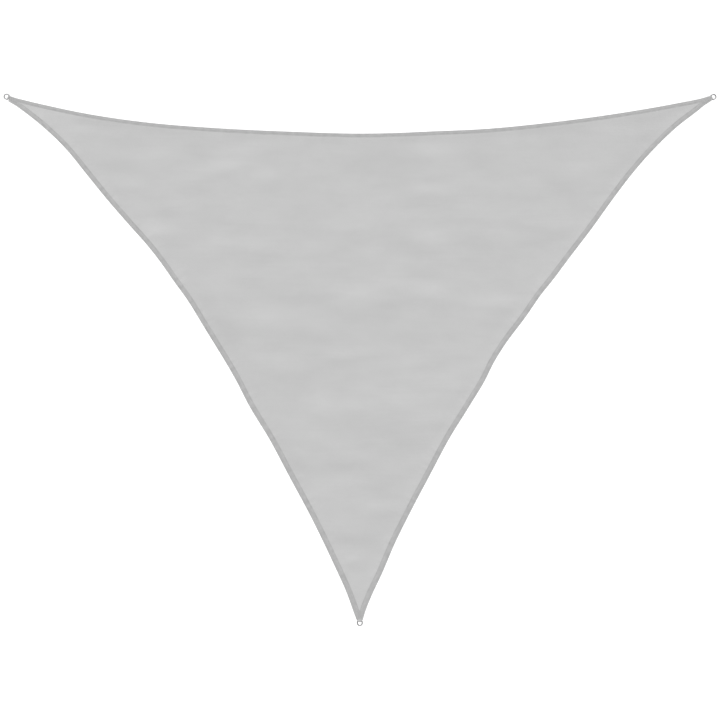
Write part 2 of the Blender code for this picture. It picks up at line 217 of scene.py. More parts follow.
LINES, LENGTHS = {}, {}
for edge in EDGES:
    LINES[edge], LENGTHS[edge] = edge_line(edge)
    print("edge", edge, "runs", round(LENGTHS[edge], 3), "m")


# %% Place things by their run along an edge
def read_line(edge, run, name):
    """One of an edge line's columns, read at the given runs."""
    line = LINES[edge]
    column = line[name]
    if column.ndim == 1:
        return np.interp(run, line["run"], column)
    return np.stack([np.interp(run, line["run"], part) for part in column.T], axis=-1)


def on_edge(edge, run, inset):
    """Plan points at a run along the edge and an inset from it into the cloth."""
    return read_line(edge, run, "points") + read_line(edge, run, "normals") * np.asarray(inset)[..., None]


def tape_width(edge, run):
    """Width of the edge's tape at a run."""
    _, _, at_start, at_end = EDGES[edge]
    return at_start + (at_end - at_start) * np.clip(run / LENGTHS[edge], 0, 1)


# First seed of each kind of unevenness, which then comes out the same in every run.
SEEDS = {"wave": 11, "width": 5, "loft": 70, "row": 200, "stitches": 300, "box": 400}
LONGEST_RUN = 12
SPARE_KNOTS = 3


def smooth_noise(at, spacing, seed):
    """Even random waves between -1 and 1 along a line, with a knot at every spacing."""
    draw = np.random.default_rng(seed).uniform(-1, 1, int(LONGEST_RUN / spacing) + 2 * SPARE_KNOTS + 2)
    place = at / spacing + SPARE_KNOTS
    low = np.floor(place).astype(int)
    return draw[low] + (draw[low + 1] - draw[low]) * ease(place - low)


def gathers(run, spacing, level, seed):
    """Random waves between 0 and 1 about a level."""
    return np.clip(level + (1 - level) * smooth_noise(run, spacing, seed), 0, 1)


# %% [markdown]
# ## Heights
#
# The sail lies on the floor, yet it is not a flat plate. The tapes are thicker than the cloth, so the
# cloth climbs a little to run between their two layers. The webbing under each corner lifts the tip. And
# sewing gathers the edge into small puckers, which fade a hand's breadth into the cloth. These heights
# are functions of the place in plan, so that cloth, tapes and stitches always agree with each other.

# %% Layer heights
THREAD_ROOM = 0.0003
TAPE_THICK = 0.0008
CLOTH_THICK = 0.0010
LAYER_GAP = 0.00005
EDGE_THICK = 2 * (TAPE_THICK + LAYER_GAP) + CLOTH_THICK
CLOTH_AT_EDGE = THREAD_ROOM + TAPE_THICK + LAYER_GAP

# The cloth comes down to the floor between these two distances inside the tape.
SLOPE_START = 0.001
SLOPE_END = 0.055

# The webbing under a corner lifts it, and the lift has died away at LIFT_END from the corner point.
LIFT = 0.00135
LIFT_START = 0.070
LIFT_END = 0.600

# Height, spacing and level of the puckers and of the slower swells along an edge.
PUCKER = (0.0011, 0.017, 0.35)
SWELL = (0.0009, 0.16, 0.3)
CALM_CORNER = (0.06, 0.22)


def corner_lift(points):
    """How far the webbing lifts the layers above it."""
    lift = 0.0
    for corner, degrees, _ in CORNERS.values():
        along, _ = along_and_aside(points, corner, degrees)
        lift = lift + LIFT * ease((LIFT_END - along) / (LIFT_END - LIFT_START))
    return lift


def edge_wave(edge, run):
    """Height of the puckers and slow swells along an edge, never below zero, calm at the corners."""
    seed = SEEDS["wave"] + 10 * NUMBER[edge]
    wave = sum(high * gathers(run, *kind, seed + k) for k, (high, *kind) in enumerate((PUCKER, SWELL)))
    ends = np.minimum(run, LENGTHS[edge] - run)
    return wave * ease((ends - CALM_CORNER[0]) / (CALM_CORNER[1] - CALM_CORNER[0]))


print("edge thickness:", round(EDGE_THICK * 1000, 2), "mm")


# %% [markdown]
# ## The cloth panel
#
# The panel is a knitted sheet a millimetre thick, cut to the outline. It could be simulated, but cloth
# laid out flat hardly moves, so it is made instead: points are laid in rows along the edges and
# in a triangular grid inside, joined by a Delaunay triangulation, and lifted to their height. Solidify
# then gives the sheet its thickness.
#
# Its main creases are set one by one, each with its own place, length, width and height. Low ripples
# that run across the sail fill the ground between them. The knit is not even either: where it is drawn
# tighter the cloth is a shade darker, so some long patches are set the same way. Other patches are
# painted light and shade: the lighter and darker flanks of low creases, and a slow fall of light
# across the sail.

# %% Creases and ripples
# Centre, length, half width, height, and turn in degrees of each main crease.
CREASES = (
    (-0.82, 1.04, 0.46, 0.058, 0.0034, 19),
    (-0.52, 1.01, 0.18, 0.050, 0.0024, 4),
    (-0.04, 0.73, 0.38, 0.060, 0.0030, 0),
    (0.41, 0.65, 0.22, 0.054, 0.0028, -6),
    (0.37, 1.16, 0.22, 0.050, 0.0024, -4),
    (0.38, 0.94, 0.32, 0.044, 0.0024, -4),
    (1.18, 1.04, 0.26, 0.060, 0.0026, 3),
    (0.00, 0.32, 0.34, 0.060, 0.0030, 2),
    (0.34, 0.365, 0.28, 0.056, 0.0032, -6),
    (0.80, 0.30, 0.26, 0.050, 0.0024, 4),
    (1.12, 0.75, 0.24, 0.054, 0.0022, 0),
    (-0.52, 0.21, 0.30, 0.058, 0.0026, -6),
    (-0.54, 0.63, 0.32, 0.054, 0.0020, 2),
    (-0.10, 0.01, 0.28, 0.044, 0.0020, 3),
    (-0.36, -0.05, 0.22, 0.050, 0.0020, -4),
    (0.12, -0.26, 0.80, 0.080, 0.0032, 8),
    (0.38, -0.36, 0.26, 0.056, 0.0020, -10),
    (-0.20, -0.50, 0.28, 0.050, 0.0018, -20),
    (-0.12, -0.73, 0.20, 0.044, 0.0018, 0),
    (0.10, -0.86, 0.18, 0.040, 0.0015, 4),
    (-0.06, -1.15, 0.14, 0.040, 0.0015, 4),
    (-1.36, 0.98, 0.24, 0.052, 0.0022, -4),
    (-1.15, 0.69, 0.22, 0.060, 0.0028, 8),
    (-1.06, 0.86, 0.18, 0.048, 0.0022, 0),
)


def soft_spot(points, centre, turn, long, wide):
    """1 at the middle of an oval spot, fading softly past this length and width on each side."""
    along, aside = along_and_aside(points, centre, turn)
    return np.exp(-((along / long) ** 2) - (aside / wide) ** 2)


def crease_height(points):
    """Sum of the main creases: low ridges with soft flanks."""
    height = 0.0
    for x, y, long, half, rise, turn in CREASES:
        height = height + rise * soft_spot(points, (x, y), turn, long / 2, half)
    return height


# Length and width of the ripples and of finer ones on them, and how high each kind is.
RIPPLES = ((0.30, 0.105, 1.0), (0.16, 0.055, 0.25))
RIPPLE = 0.0021
RIPPLE_LEVEL = 0.3
SOFT_GROUND = 0.3

# Layers of the noise in which the ripples and the finer ones lie, and size, scale and layer of their drift.
RIPPLE_LAYERS = (4.7, 11.7)
DRIFT = 0.035
DRIFT_SCALE = 1.3
DRIFT_LAYER = 9.1


def ripple_height(points):
    """Low ripples, longer across the sail than along it, with flat ground between them."""
    height = np.full(len(points), RIPPLE_LEVEL)
    for k, (x, y) in enumerate(points):
        y += DRIFT * noise.noise(Vector((x * DRIFT_SCALE, y * DRIFT_SCALE, DRIFT_LAYER)))
        for (long, wide, share), layer in zip(RIPPLES, RIPPLE_LAYERS):
            height[k] += share * noise.noise(Vector((x / long, y / wide, layer)))
    return RIPPLE * (height + np.sqrt(height**2 + SOFT_GROUND**2)) / 2


# %% Patches of tighter and looser knit, and of painted light and shade
# Centre, length, width, turn in degrees, and how much lighter the cloth is there.
KNIT_AND_SHADE_PATCHES = (
    (-1.72, 1.38, 0.26, 0.08, -20, 0.032),
    (-1.45, 1.32, 0.34, 0.05, -12, -0.028),
    (-1.14, 1.18, 0.18, 0.08, 0, 0.018),
    (-0.82, 1.10, 0.34, 0.06, 19, 0.020),
    (-0.94, 1.20, 0.14, 0.09, 0, -0.030),
    (-0.52, 1.05, 0.12, 0.05, 0, 0.024),
    (-1.37, 1.10, 0.16, 0.05, 0, -0.028),
    (-1.03, 1.02, 0.16, 0.06, 0, -0.024),
    (-0.72, 0.97, 0.18, 0.07, 0, 0.018),
    (-1.12, 0.84, 0.11, 0.05, 0, -0.024),
    (-1.17, 0.74, 0.13, 0.09, 0, 0.032),
    (-0.80, 0.46, 0.18, 0.08, 0, 0.024),
    (-0.57, 0.57, 0.14, 0.06, 0, -0.030),
    (-0.54, 0.65, 0.22, 0.05, 0, 0.020),
    (-0.62, 0.44, 0.09, 0.05, 0, -0.026),
    (-0.28, 0.55, 0.14, 0.07, 0, 0.022),
    (-0.34, 0.36, 0.24, 0.07, 0, -0.030),
    (-0.52, 0.26, 0.19, 0.08, 0, 0.024),
    (-0.79, 0.20, 0.36, 0.10, -58, -0.034),
    (-0.30, 0.98, 0.14, 0.07, 0, -0.020),
    (-0.30, 0.80, 0.18, 0.08, 0, -0.034),
    (-0.14, 1.09, 0.30, 0.05, 0, -0.018),
    (0.14, 1.12, 0.21, 0.13, 0, -0.040),
    (0.36, 1.20, 0.18, 0.06, 0, 0.020),
    (0.70, 1.10, 0.15, 0.10, 0, -0.026),
    (0.24, 0.94, 0.13, 0.07, 0, -0.020),
    (0.18, 0.83, 0.24, 0.08, 0, 0.018),
    (0.46, 0.81, 0.12, 0.05, 0, -0.022),
    (0.41, 0.72, 0.13, 0.07, 0, 0.024),
    (0.22, 0.68, 0.14, 0.09, 0, -0.030),
    (-0.08, 0.69, 0.18, 0.05, 8, 0.028),
    (-0.12, 0.58, 0.16, 0.06, 0, -0.024),
    (0.69, 0.63, 0.19, 0.08, 0, -0.048),
    (0.79, 0.67, 0.12, 0.07, 0, 0.024),
    (0.99, 0.69, 0.18, 0.07, 0, -0.030),
    (1.15, 0.97, 0.26, 0.09, 0, -0.016),
    (1.14, 1.24, 0.20, 0.06, 12, -0.032),
    (1.58, 1.19, 0.34, 0.08, 45, -0.032),
    (1.10, 1.08, 0.10, 0.08, 0, -0.024),
    (1.26, 1.12, 0.15, 0.07, 0, 0.016),
    (0.22, 0.51, 0.12, 0.07, 0, 0.024),
    (0.42, 0.47, 0.12, 0.05, 0, -0.024),
    (0.40, 0.41, 0.14, 0.07, 0, 0.024),
    (0.00, 0.40, 0.18, 0.09, 0, 0.020),
    (0.20, 0.31, 0.16, 0.06, 0, -0.032),
    (0.80, 0.34, 0.22, 0.05, 4, 0.022),
    (0.01, 0.24, 0.28, 0.05, 0, -0.020),
    (0.79, 0.44, 0.15, 0.04, 0, -0.022),
    (-0.34, 0.13, 0.21, 0.05, 0, -0.026),
    (-0.22, 0.03, 0.15, 0.06, 0, -0.020),
    (-0.58, 0.02, 0.15, 0.05, 0, 0.020),
    (0.36, 0.12, 0.15, 0.05, 0, -0.020),
    (-0.46, -0.15, 0.26, 0.08, 0, -0.028),
    (0.46, -0.09, 0.44, 0.05, 3, 0.014),
    (-0.22, -0.23, 0.14, 0.07, 0, 0.028),
    (0.27, -0.30, 0.28, 0.07, 0, 0.028),
    (0.21, -0.42, 0.15, 0.10, -10, -0.036),
    (-0.04, -0.42, 0.14, 0.06, 0, -0.024),
    (-0.34, -0.43, 0.18, 0.09, 0, 0.018),
    (-0.40, -0.53, 0.24, 0.08, -60, -0.030),
    (-0.11, -0.59, 0.14, 0.06, 0, -0.024),
    (-0.12, -0.76, 0.22, 0.07, 0, 0.028),
    (0.11, -0.69, 0.16, 0.10, 0, -0.022),
    (0.10, -0.83, 0.19, 0.04, 4, 0.022),
    (-0.03, -0.85, 0.20, 0.05, 0, -0.024),
    (0.18, -0.89, 0.12, 0.06, 0, -0.026),
    (-0.04, -1.02, 0.21, 0.05, 0, -0.028),
    (-0.07, -1.12, 0.13, 0.04, 0, 0.022),
    (0.08, -1.08, 0.13, 0.06, 0, -0.026),
)
PATCH_DEPTH = 1.35


def knit_and_shade_tone(points):
    """How much lighter or darker the cloth is over plan points: knit, and painted light and shade."""
    tone, reach = 0.0, math.sqrt(0.5)
    for x, y, long, wide, turn, change in KNIT_AND_SHADE_PATCHES:
        tone = tone + PATCH_DEPTH * change * soft_spot(points, (x, y), turn, long * reach, wide * reach)
    return tone


# %% Height of the cloth's underside
CLOTH_RIM = 0.0020
RIPPLE_START = 0.012
RIPPLE_FULL = 0.070
PUCKER_FADE = 0.028


def edge_place(edge, points):
    """Run and inset of plan points, read from the nearest piece of the edge's curve."""
    start, chord = chord_of(edge)
    line = LINES[edge]
    share = np.clip((points - start) @ chord / (chord @ chord), SPARE, 1 - SPARE)
    at = (share - SPARE) / (1 - 2 * SPARE) * (LINE_POINTS - 1)
    # Three steps are enough to come to the row whose normal runs through the point.
    for _ in range(3):
        row = np.clip(np.rint(at).astype(int), 1, LINE_POINTS - 2)
        away = points - line["points"][row]
        normal = line["normals"][row]
        beside = away[:, 1] * normal[:, 0] - away[:, 0] * normal[:, 1]
        at = row + beside / (line["run"][row + 1] - line["run"][row])
    return line["run"][row] + beside, np.sum(away * normal, axis=1)


def cloth_height(points):
    """Height of the cloth's underside over plan points."""
    slope, wave = np.zeros(len(points)), np.zeros(len(points))
    nearest = np.full(len(points), np.inf)
    for edge in EDGES:
        run, inset = edge_place(edge, points)
        beyond = inset - tape_width(edge, run)
        slope = np.maximum(slope, ease((SLOPE_END - beyond) / (SLOPE_END - SLOPE_START)))
        fade = np.exp(-np.clip(beyond / PUCKER_FADE, 0, None) ** 1.5)
        wave = np.maximum(wave, edge_wave(edge, run) * fade)
        nearest = np.minimum(nearest, beyond)
    open_ground = ease((nearest - RIPPLE_START) / (RIPPLE_FULL - RIPPLE_START))
    relief = (crease_height(points) + ripple_height(points)) * open_ground
    return CLOTH_AT_EDGE * slope + corner_lift(points) + wave + relief


# %% Lay the cloth's points
ROW_STEP = 0.008
ROW_ENDS = 0.012
RIM_ENDS = 0.001
ROWS_FROM_TAPE = (-0.012, -0.004, 0.002, 0.008, 0.015, 0.024, 0.036, 0.052)
GRID_STEP = 0.016
GRID_HALF = (2.0, 1.45)
GRID_FROM_TAPE = 0.064
ROOM_SPARE = 0.003


def cloth_plan():
    """Plan points of the panel: the rim as one closed loop, rows along the edges, a grid inside."""
    rim, rows = [], []
    for edge, length in LENGTHS.items():
        run = np.linspace(RIM_ENDS, length - RIM_ENDS, round(length / ROW_STEP) + 1)
        rim.append(on_edge(edge, run, np.full(len(run), CLOTH_RIM)))
        room = read_line(edge, run, "room")
        for beyond in ROWS_FROM_TAPE:
            inset = tape_width(edge, run) + beyond
            fits = (room > inset + ROOM_SPARE) & (run > ROW_ENDS) & (run < length - ROW_ENDS)
            rows.append(on_edge(edge, run[fits], inset[fits]))
    wide, high = GRID_HALF
    for k, y in enumerate(np.arange(-high, high, GRID_STEP * math.sqrt(3) / 2)):
        x = np.arange(-wide, wide, GRID_STEP) + (k % 2) * GRID_STEP / 2
        row = np.stack((x, np.full(len(x), y)), axis=1)
        inside = np.full(len(x), True)
        for edge in EDGES:
            run, inset = edge_place(edge, row)
            inside &= inset - tape_width(edge, run) > GRID_FROM_TAPE
        rows.append(row[inside])
    return np.concatenate(rim), np.concatenate(rows)


rim_points, inner_points = cloth_plan()
print("cloth points:", len(rim_points), "on the rim and", len(inner_points), "inside")


# %% Mesh helpers
def mesh_from(name, points, faces):
    """A mesh from arrays of points and faces."""
    mesh = bpy.data.meshes.new(name)
    mesh.from_pydata([tuple(p) for p in points], [], [tuple(f) for f in faces])
    mesh.validate()
    return mesh


def read_points(mesh):
    """The places of a mesh's points as an array."""
    return np.array([tuple(v.co) for v in mesh.vertices])


def give_values(mesh, name, values):
    """Store one value for each point as an attribute that materials can read."""
    values = np.asarray(values, np.float32).ravel()
    mesh.attributes.new(name, "FLOAT", "POINT").data.foreach_set("value", values)


def give_uv(mesh, name, places):
    """A UV map from one place for each point."""
    layer = mesh.uv_layers.active or mesh.uv_layers.new()
    layer.name = name
    corners = np.empty(len(mesh.loops), np.int32)
    mesh.loops.foreach_get("vertex_index", corners)
    layer.data.foreach_set("uv", places[corners].astype(np.float32).ravel())


def only(item):
    """Select and activate one object, with all others deselected."""
    bpy.ops.object.select_all(action="DESELECT")
    item.select_set(True)
    bpy.context.view_layer.objects.active = item


def smooth_by_angle(item, degrees):
    """Shade an object smooth, but keep edges sharper than the angle."""
    only(item)
    bpy.ops.object.shade_smooth_by_angle(angle=math.radians(degrees))


def triangles(*items):
    """Number of triangles of some objects' meshes."""
    return sum(len(face.vertices) - 2 for item in items for face in item.data.polygons)


def tell(items):
    """Print the name and size of each of some pieces."""
    for item in items:
        print(item.name, "has", triangles(item), "triangles")


# %% Make the cloth panel
def make_cloth():
    """Triangulate the plan, lift it and give it thickness."""
    plan = np.concatenate((rim_points, inner_points))
    count = len(rim_points)
    loop = [(k, (k + 1) % count) for k in range(count)]
    flat, _, faces, *_ = geometry.delaunay_2d_cdt([Vector(p) for p in plan], loop, [], 1, 1e-6)
    flat = np.array([tuple(p) for p in flat])
    mesh = mesh_from("sail_panel", np.column_stack((flat, cloth_height(flat))), faces)
    cloth = new_object("sail_panel", mesh)
    if sum(face.normal.z for face in mesh.polygons) < 0:
        mesh.flip_normals()
    only(cloth)
    sheet = cloth.modifiers.new("thickness", "SOLIDIFY")
    sheet.thickness = CLOTH_THICK
    sheet.offset = 1.0
    bpy.ops.object.modifier_apply(modifier=sheet.name)
    # This tone holds tighter and looser knit, and painted light and shade of creases and of the light.
    give_values(cloth.data, "knit_and_painted_shade", knit_and_shade_tone(read_points(cloth.data)[:, :2]))
    smooth_by_angle(cloth, 40)
    return cloth


sail_panel = make_cloth()
tell([sail_panel])

# %% [markdown]
# ## The edge tapes
#
# A binding is one strip of woven tape, folded lengthwise over the raw edge and sewn down with two rows
# of stitches. Its section is drawn once, from the lower free edge round the fold to the upper free
# edge, and carried along the edge at close stations. The stitches pull the tape down, so it dips at
# each row and swells between them, a little more here and less there. At a corner two tapes meet in a
# mitre: each section stops where it reaches the middle line.

# %% Section of the tape
OUTER_SEAM = 0.0055
INNER_SEAM = 0.0045
BESIDE_SEAM = 0.0009
SEAM_DIP = 0.00022
SEAM_REACH = 0.0016
TAPE_SWELL = 0.00035
LOFT_SPACING = 0.013
TAPE_STEP = 0.0056
FOLD_TURNS = 5

# How far from the fold, and from the free edge, a layer has its points.
FROM_FOLD = (EDGE_THICK / 2, 0.0030, OUTER_SEAM - BESIDE_SEAM, OUTER_SEAM, OUTER_SEAM + BESIDE_SEAM, 0.0085)
FROM_FREE_EDGE = (0.0065, INNER_SEAM + BESIDE_SEAM, INNER_SEAM, INNER_SEAM - BESIDE_SEAM, 0.0018, 0.0003, 0)


def tape_insets(width):
    """Insets of a layer's points from the fold to the free edge, as columns for each station."""
    columns = [np.full(len(width), value) for value in FROM_FOLD]
    columns.append((width + OUTER_SEAM - INNER_SEAM) / 2)
    return np.stack(columns + [width - value for value in FROM_FREE_EDGE], axis=1)


def on_seams(edge, run, insets):
    """1 on the rows of stitches, fading to 0 beside them."""
    inner = tape_width(edge, run)[:, None] - INNER_SEAM
    return sum(np.exp(-(((insets - seam) / SEAM_REACH) ** 2)) for seam in (OUTER_SEAM, inner))


def tape_loft(edge, run, insets, seed):
    """How far a layer stands proud of its sewn-down level."""
    seams = on_seams(edge, run, insets)
    lively = gathers(run, LOFT_SPACING, 0.5, seed)[:, None]
    middle = np.clip(1 - np.abs(2 * insets / tape_width(edge, run)[:, None] - 1) ** 3, 0, 1)
    return TAPE_SWELL * middle * lively * (1 - np.clip(seams, 0, 1)) - SEAM_DIP * seams


# %% Carry the section along an edge
TIP_FADE = 0.05
LEAST_WIDTH = 0.004
WANDER = 0.0004
WANDER_SPACING = 0.02

# The lower layer bulges by no more than this share of the room under it.
LOWER_BULGE = 0.6


def tip_shear(edge, run, inset):
    """Move a section's points along the edge near a tip, so that its end follows the straight cut."""
    shear = np.zeros(np.shape(inset))
    for corner, there, sign in ((EDGES[edge][0], 0.0, 1), (EDGES[edge][1], LENGTHS[edge], -1)):
        normal = read_line(edge, there, "normals")
        aim, _ = axes(CORNERS[corner][1])
        lean = -(normal @ aim) / (normal[0] * aim[1] - normal[1] * aim[0])
        fade = ease(1 - sign * (run - there) / TIP_FADE)
        shear += lean * inset * fade[:, None]
    return shear


def tape_rows(edge):
    """Stations of a tape, from the lower free edge round the fold to the upper free edge.

    For each station: its run, insets and heights of the outer and the inner face, and the place on the
    unrolled strip."""
    run = np.linspace(0.0, LENGTHS[edge], round(LENGTHS[edge] / TAPE_STEP) + 1)
    width = tape_width(edge, run) + WANDER * smooth_noise(run, WANDER_SPACING, SEEDS["width"] + NUMBER[edge])
    room = np.clip(read_line(edge, run, "room") - LAYER_GAP, LEAST_WIDTH, None)
    insets = np.minimum(tape_insets(width), np.minimum(width, room)[:, None])
    seed = SEEDS["loft"] + 10 * NUMBER[edge]
    lofts = [np.clip(tape_loft(edge, run, insets, seed + side), -SEAM_DIP, None) for side in (0, 1)]
    lower = (THREAD_ROOM - np.clip(lofts[0], -SEAM_DIP, THREAD_ROOM * LOWER_BULGE))[:, ::-1]
    upper = THREAD_ROOM + EDGE_THICK + lofts[1]
    fold = EDGE_THICK / 2
    hollow = fold - TAPE_THICK
    angle = math.pi * (np.arange(1, FOLD_TURNS + 1) / (FOLD_TURNS + 1) - 0.5)
    angle = np.tile(angle, (len(run), 1))
    back, up = np.cos(angle), np.sin(angle)
    outer = (
        np.hstack((insets[:, ::-1], fold * (1 - back), insets)),
        np.hstack((lower, THREAD_ROOM + fold * (1 + up), upper)),
    )
    inner = (
        np.hstack((insets[:, ::-1], fold - hollow * back, insets)),
        np.hstack((lower + TAPE_THICK, THREAD_ROOM + fold + hollow * up, upper - TAPE_THICK)),
    )
    return run, outer, inner, np.hstack((-insets[:, ::-1], fold * angle, insets))


def tape_points(edge, run, insets, heights):
    """Points in space for stations of a tape."""
    plan = on_edge(edge, run[:, None] + tip_shear(edge, run, insets), insets)
    lift = corner_lift(plan.reshape(-1, 2)).reshape(insets.shape)
    return np.dstack((plan, heights + lift + edge_wave(edge, run)[:, None]))


# %% Model helpers
def edit(item):
    """Open an object in edit mode with all of it selected."""
    only(item)
    bpy.ops.object.mode_set(mode="EDIT")
    bpy.ops.mesh.select_all(action="SELECT")


def start_model(primitive, scale=(1, 1, 1), **sizes):
    """Add a primitive turned to face X, apply its scale and place, and open it in edit mode."""
    bpy.ops.object.select_all(action="DESELECT")
    getattr(bpy.ops.mesh, f"primitive_{primitive}_add")(rotation=(0, math.pi / 2, 0), **sizes)
    item = bpy.context.object
    item.scale = scale
    bpy.ops.object.transform_apply(location=True, rotation=True, scale=True)
    edit(item)
    return item


def close_model(gap):
    """Merge a model's doubles, turn its faces outwards, and leave edit mode."""
    bpy.ops.mesh.select_all(action="SELECT")
    bpy.ops.mesh.remove_doubles(threshold=gap)
    bpy.ops.mesh.normals_make_consistent(inside=False)
    bpy.ops.object.mode_set(mode="OBJECT")


# %% Make the edge tapes
def strip_faces(stations, around):
    """Faces between neighbouring stations of a closed section."""
    faces = []
    for here in range(0, (stations - 1) * around, around):
        for k in range(around):
            after = (k + 1) % around
            faces.append((here + k, here + after, here + around + after, here + around + k))
    return faces


def make_tape(edge):
    """One folded tape as a closed strip, with its unrolled place as UV map and its seams as attribute."""
    run, outer, inner, strip = tape_rows(edge)
    outer, inner = (tape_points(edge, run, *face) for face in (outer, inner))
    ring = np.concatenate((outer, inner[:, ::-1]), axis=1)
    around = ring.shape[1]
    faces = strip_faces(len(run), around)
    for here in (0, (len(run) - 1) * around):
        for k in range(outer.shape[1] - 1):
            face = (here + k, here + k + 1, here + around - 2 - k, here + around - 1 - k)
            faces.append(face if here else face[::-1])
    mesh = mesh_from("edge_tape_" + edge, ring.reshape(-1, 3), faces)
    strips = np.hstack((strip, strip[:, ::-1]))
    give_uv(mesh, "along_tape", np.dstack((run[:, None] + np.zeros(strips.shape), strips)).reshape(-1, 2))
    give_values(mesh, "seam", np.clip(on_seams(edge, run, np.abs(strips)), 0, 1))
    tape = new_object("edge_tape_" + edge, mesh)
    edit(tape)
    close_model(gap=0.000002)
    smooth_by_angle(tape, 50)
    return tape


tapes = {edge: make_tape(edge) for edge in EDGES}
tell(tapes.values())

# %% [markdown]
# ## Stitches
#
# Thread of about a millimetre runs in short even stitches. Each one is a small spindle whose ends dip
# into the tape. Thousands are needed, so one stitch is modelled with few faces, and its copies
# are joined into one mesh for each seam. Thread never lies quite straight, so every copy gets its own
# small turn and length.

# %% Model one stitch
STITCH_SIDES = 5
STITCH_LENGTH = 0.0058
THREAD = 0.0009
STITCH_RISE = 0.00005
STITCH_SINK = 0.00042
STITCH_CUT = 0.3
SHOULDER = 0.7
TIP_WIDTH = 0.55


def make_stitch():
    """A spindle along X whose middle stands proud and whose ends sink."""
    item = start_model("cylinder", vertices=STITCH_SIDES, radius=THREAD / 2, depth=STITCH_LENGTH)
    for cut in (-STITCH_CUT, STITCH_CUT):
        bpy.ops.mesh.bisect(plane_co=(cut * STITCH_LENGTH, 0, 0), plane_no=(1, 0, 0))
        bpy.ops.mesh.select_all(action="SELECT")
    bpy.ops.object.mode_set(mode="OBJECT")
    for vertex in item.data.vertices:
        middle = abs(vertex.co.x) < SHOULDER * STITCH_LENGTH / 2
        narrow = 1.0 if middle else TIP_WIDTH
        vertex.co.y *= narrow
        vertex.co.z = vertex.co.z * narrow + (STITCH_RISE if middle else -STITCH_SINK)
    return item


stitch_model = make_stitch()
STITCH_POINTS = read_points(stitch_model.data)
STITCH_FACES = [tuple(face.vertices) for face in stitch_model.data.polygons]
AROUND_STITCH = np.arctan2(STITCH_POINTS[:, 2], STITCH_POINTS[:, 1]) * THREAD / 2
STITCH_UV = np.stack((STITCH_POINTS[:, 0], AROUND_STITCH), axis=1)
bpy.data.objects.remove(stitch_model, do_unlink=True)
print("one stitch:", len(STITCH_POINTS), "points,", len(STITCH_FACES), "faces")

# %% Copy stitches along a path
STITCH_TURN = 0.045
STITCH_STRETCH = 0.035
UV_SHIFT = (0.0217, 0.0131)


def copy_stitches(name, rows, seed):
    """Join copies of the stitch: each at its place, along its aim, with its back to the up direction."""
    spread = np.random.default_rng(seed)
    places, aims, ups = (np.concatenate(part) for part in zip(*rows))
    count = len(places)
    turn = spread.normal(0, STITCH_TURN, count)[:, None]
    long = spread.normal(1.0, STITCH_STRETCH, count)[:, None]
    turned = aims * np.cos(turn) + np.cross(ups, aims) * np.sin(turn)
    x, y, z = (STITCH_POINTS[None, :, k, None] for k in range(3))
    points = places[:, None] + turned[:, None] * (x * long[:, None])
    points += np.cross(ups, turned)[:, None] * y + ups[:, None] * z
    size = len(STITCH_POINTS)
    faces = [tuple(v + k * size for v in face) for k in range(count) for face in STITCH_FACES]
    mesh = mesh_from(name, points.reshape(-1, 3), faces)
    shift = np.arange(count)[:, None, None] * np.array(UV_SHIFT)
    give_uv(mesh, "along_thread", (STITCH_UV[None] + shift).reshape(-1, 2))
    item = new_object(name, mesh)
    smooth_by_angle(item, 60)
    return item


# %% Sew the tapes
STITCH_PITCH = 0.0066
PITCH_SPREAD = 0.00022
ROW_WANDER = 0.0003
ROW_WANDER_SPACING = 0.06
ROW_END = 0.006
MITRE_SPARE = 0.0015
TAB_REACH = 0.072
TAB_HALF = 0.0108


def seam_row(edge, from_fold, seed):
    """Runs and insets of one row of stitches, wandering by a few tenths of a millimetre."""
    run = np.arange(ROW_END, LENGTHS[edge] - ROW_END, STITCH_PITCH)
    run = run + np.random.default_rng(seed).normal(0, PITCH_SPREAD, len(run))
    inset = np.full(len(run), OUTER_SEAM) if from_fold else tape_width(edge, run) - INNER_SEAM
    inset = inset + ROW_WANDER * smooth_noise(run, ROW_WANDER_SPACING, seed)
    keep = read_line(edge, run, "room") > inset + MITRE_SPARE
    plan = on_edge(edge, run, inset)
    for corner in EDGES[edge][:2]:
        along, aside = along_and_aside(plan, EYES[corner], CORNERS[corner][1])
        keep &= (along > TAB_REACH) | (np.abs(aside) > TAB_HALF)
    return run[keep], inset[keep]


def sew_tape(edge):
    """Both rows of stitches on both faces of one tape."""
    rows = []
    for row, from_fold in enumerate((True, False)):
        run, inset = seam_row(edge, from_fold, SEEDS["row"] + 10 * NUMBER[edge] + row)
        for face in (1, -1):
            level = THREAD_ROOM + (EDGE_THICK - SEAM_DIP if face > 0 else SEAM_DIP)
            points = []
            for step in (-0.5, 0.0, 0.5):
                at = run + step * STITCH_LENGTH
                plan = on_edge(edge, at, inset)
                points.append(np.column_stack((plan, level + corner_lift(plan) + edge_wave(edge, at))))
            aim = unit(points[2] - points[0])
            rows.append((points[1], aim, unit(np.array((0, 0, face)) - aim * (face * aim[:, 2:]))))
    return copy_stitches("seam_stitches_" + edge, rows, SEEDS["stitches"] + NUMBER[edge])


seams = {edge: sew_tape(edge) for edge in EDGES}
tell(seams.values())

# %% [markdown]
# ## Corner webbing
#
# At each corner a strap of webbing passes round the straight bar of the ring, and its two legs are sewn
# to both faces of the tip. It is modelled as the real one is laid: a rounded section is extruded along
# the lower leg, spun round the bar, and led down to the cloth on the other side. All three corners are
# alike, so it is modelled once, with the eye at the origin and X into the cloth, and then copied.

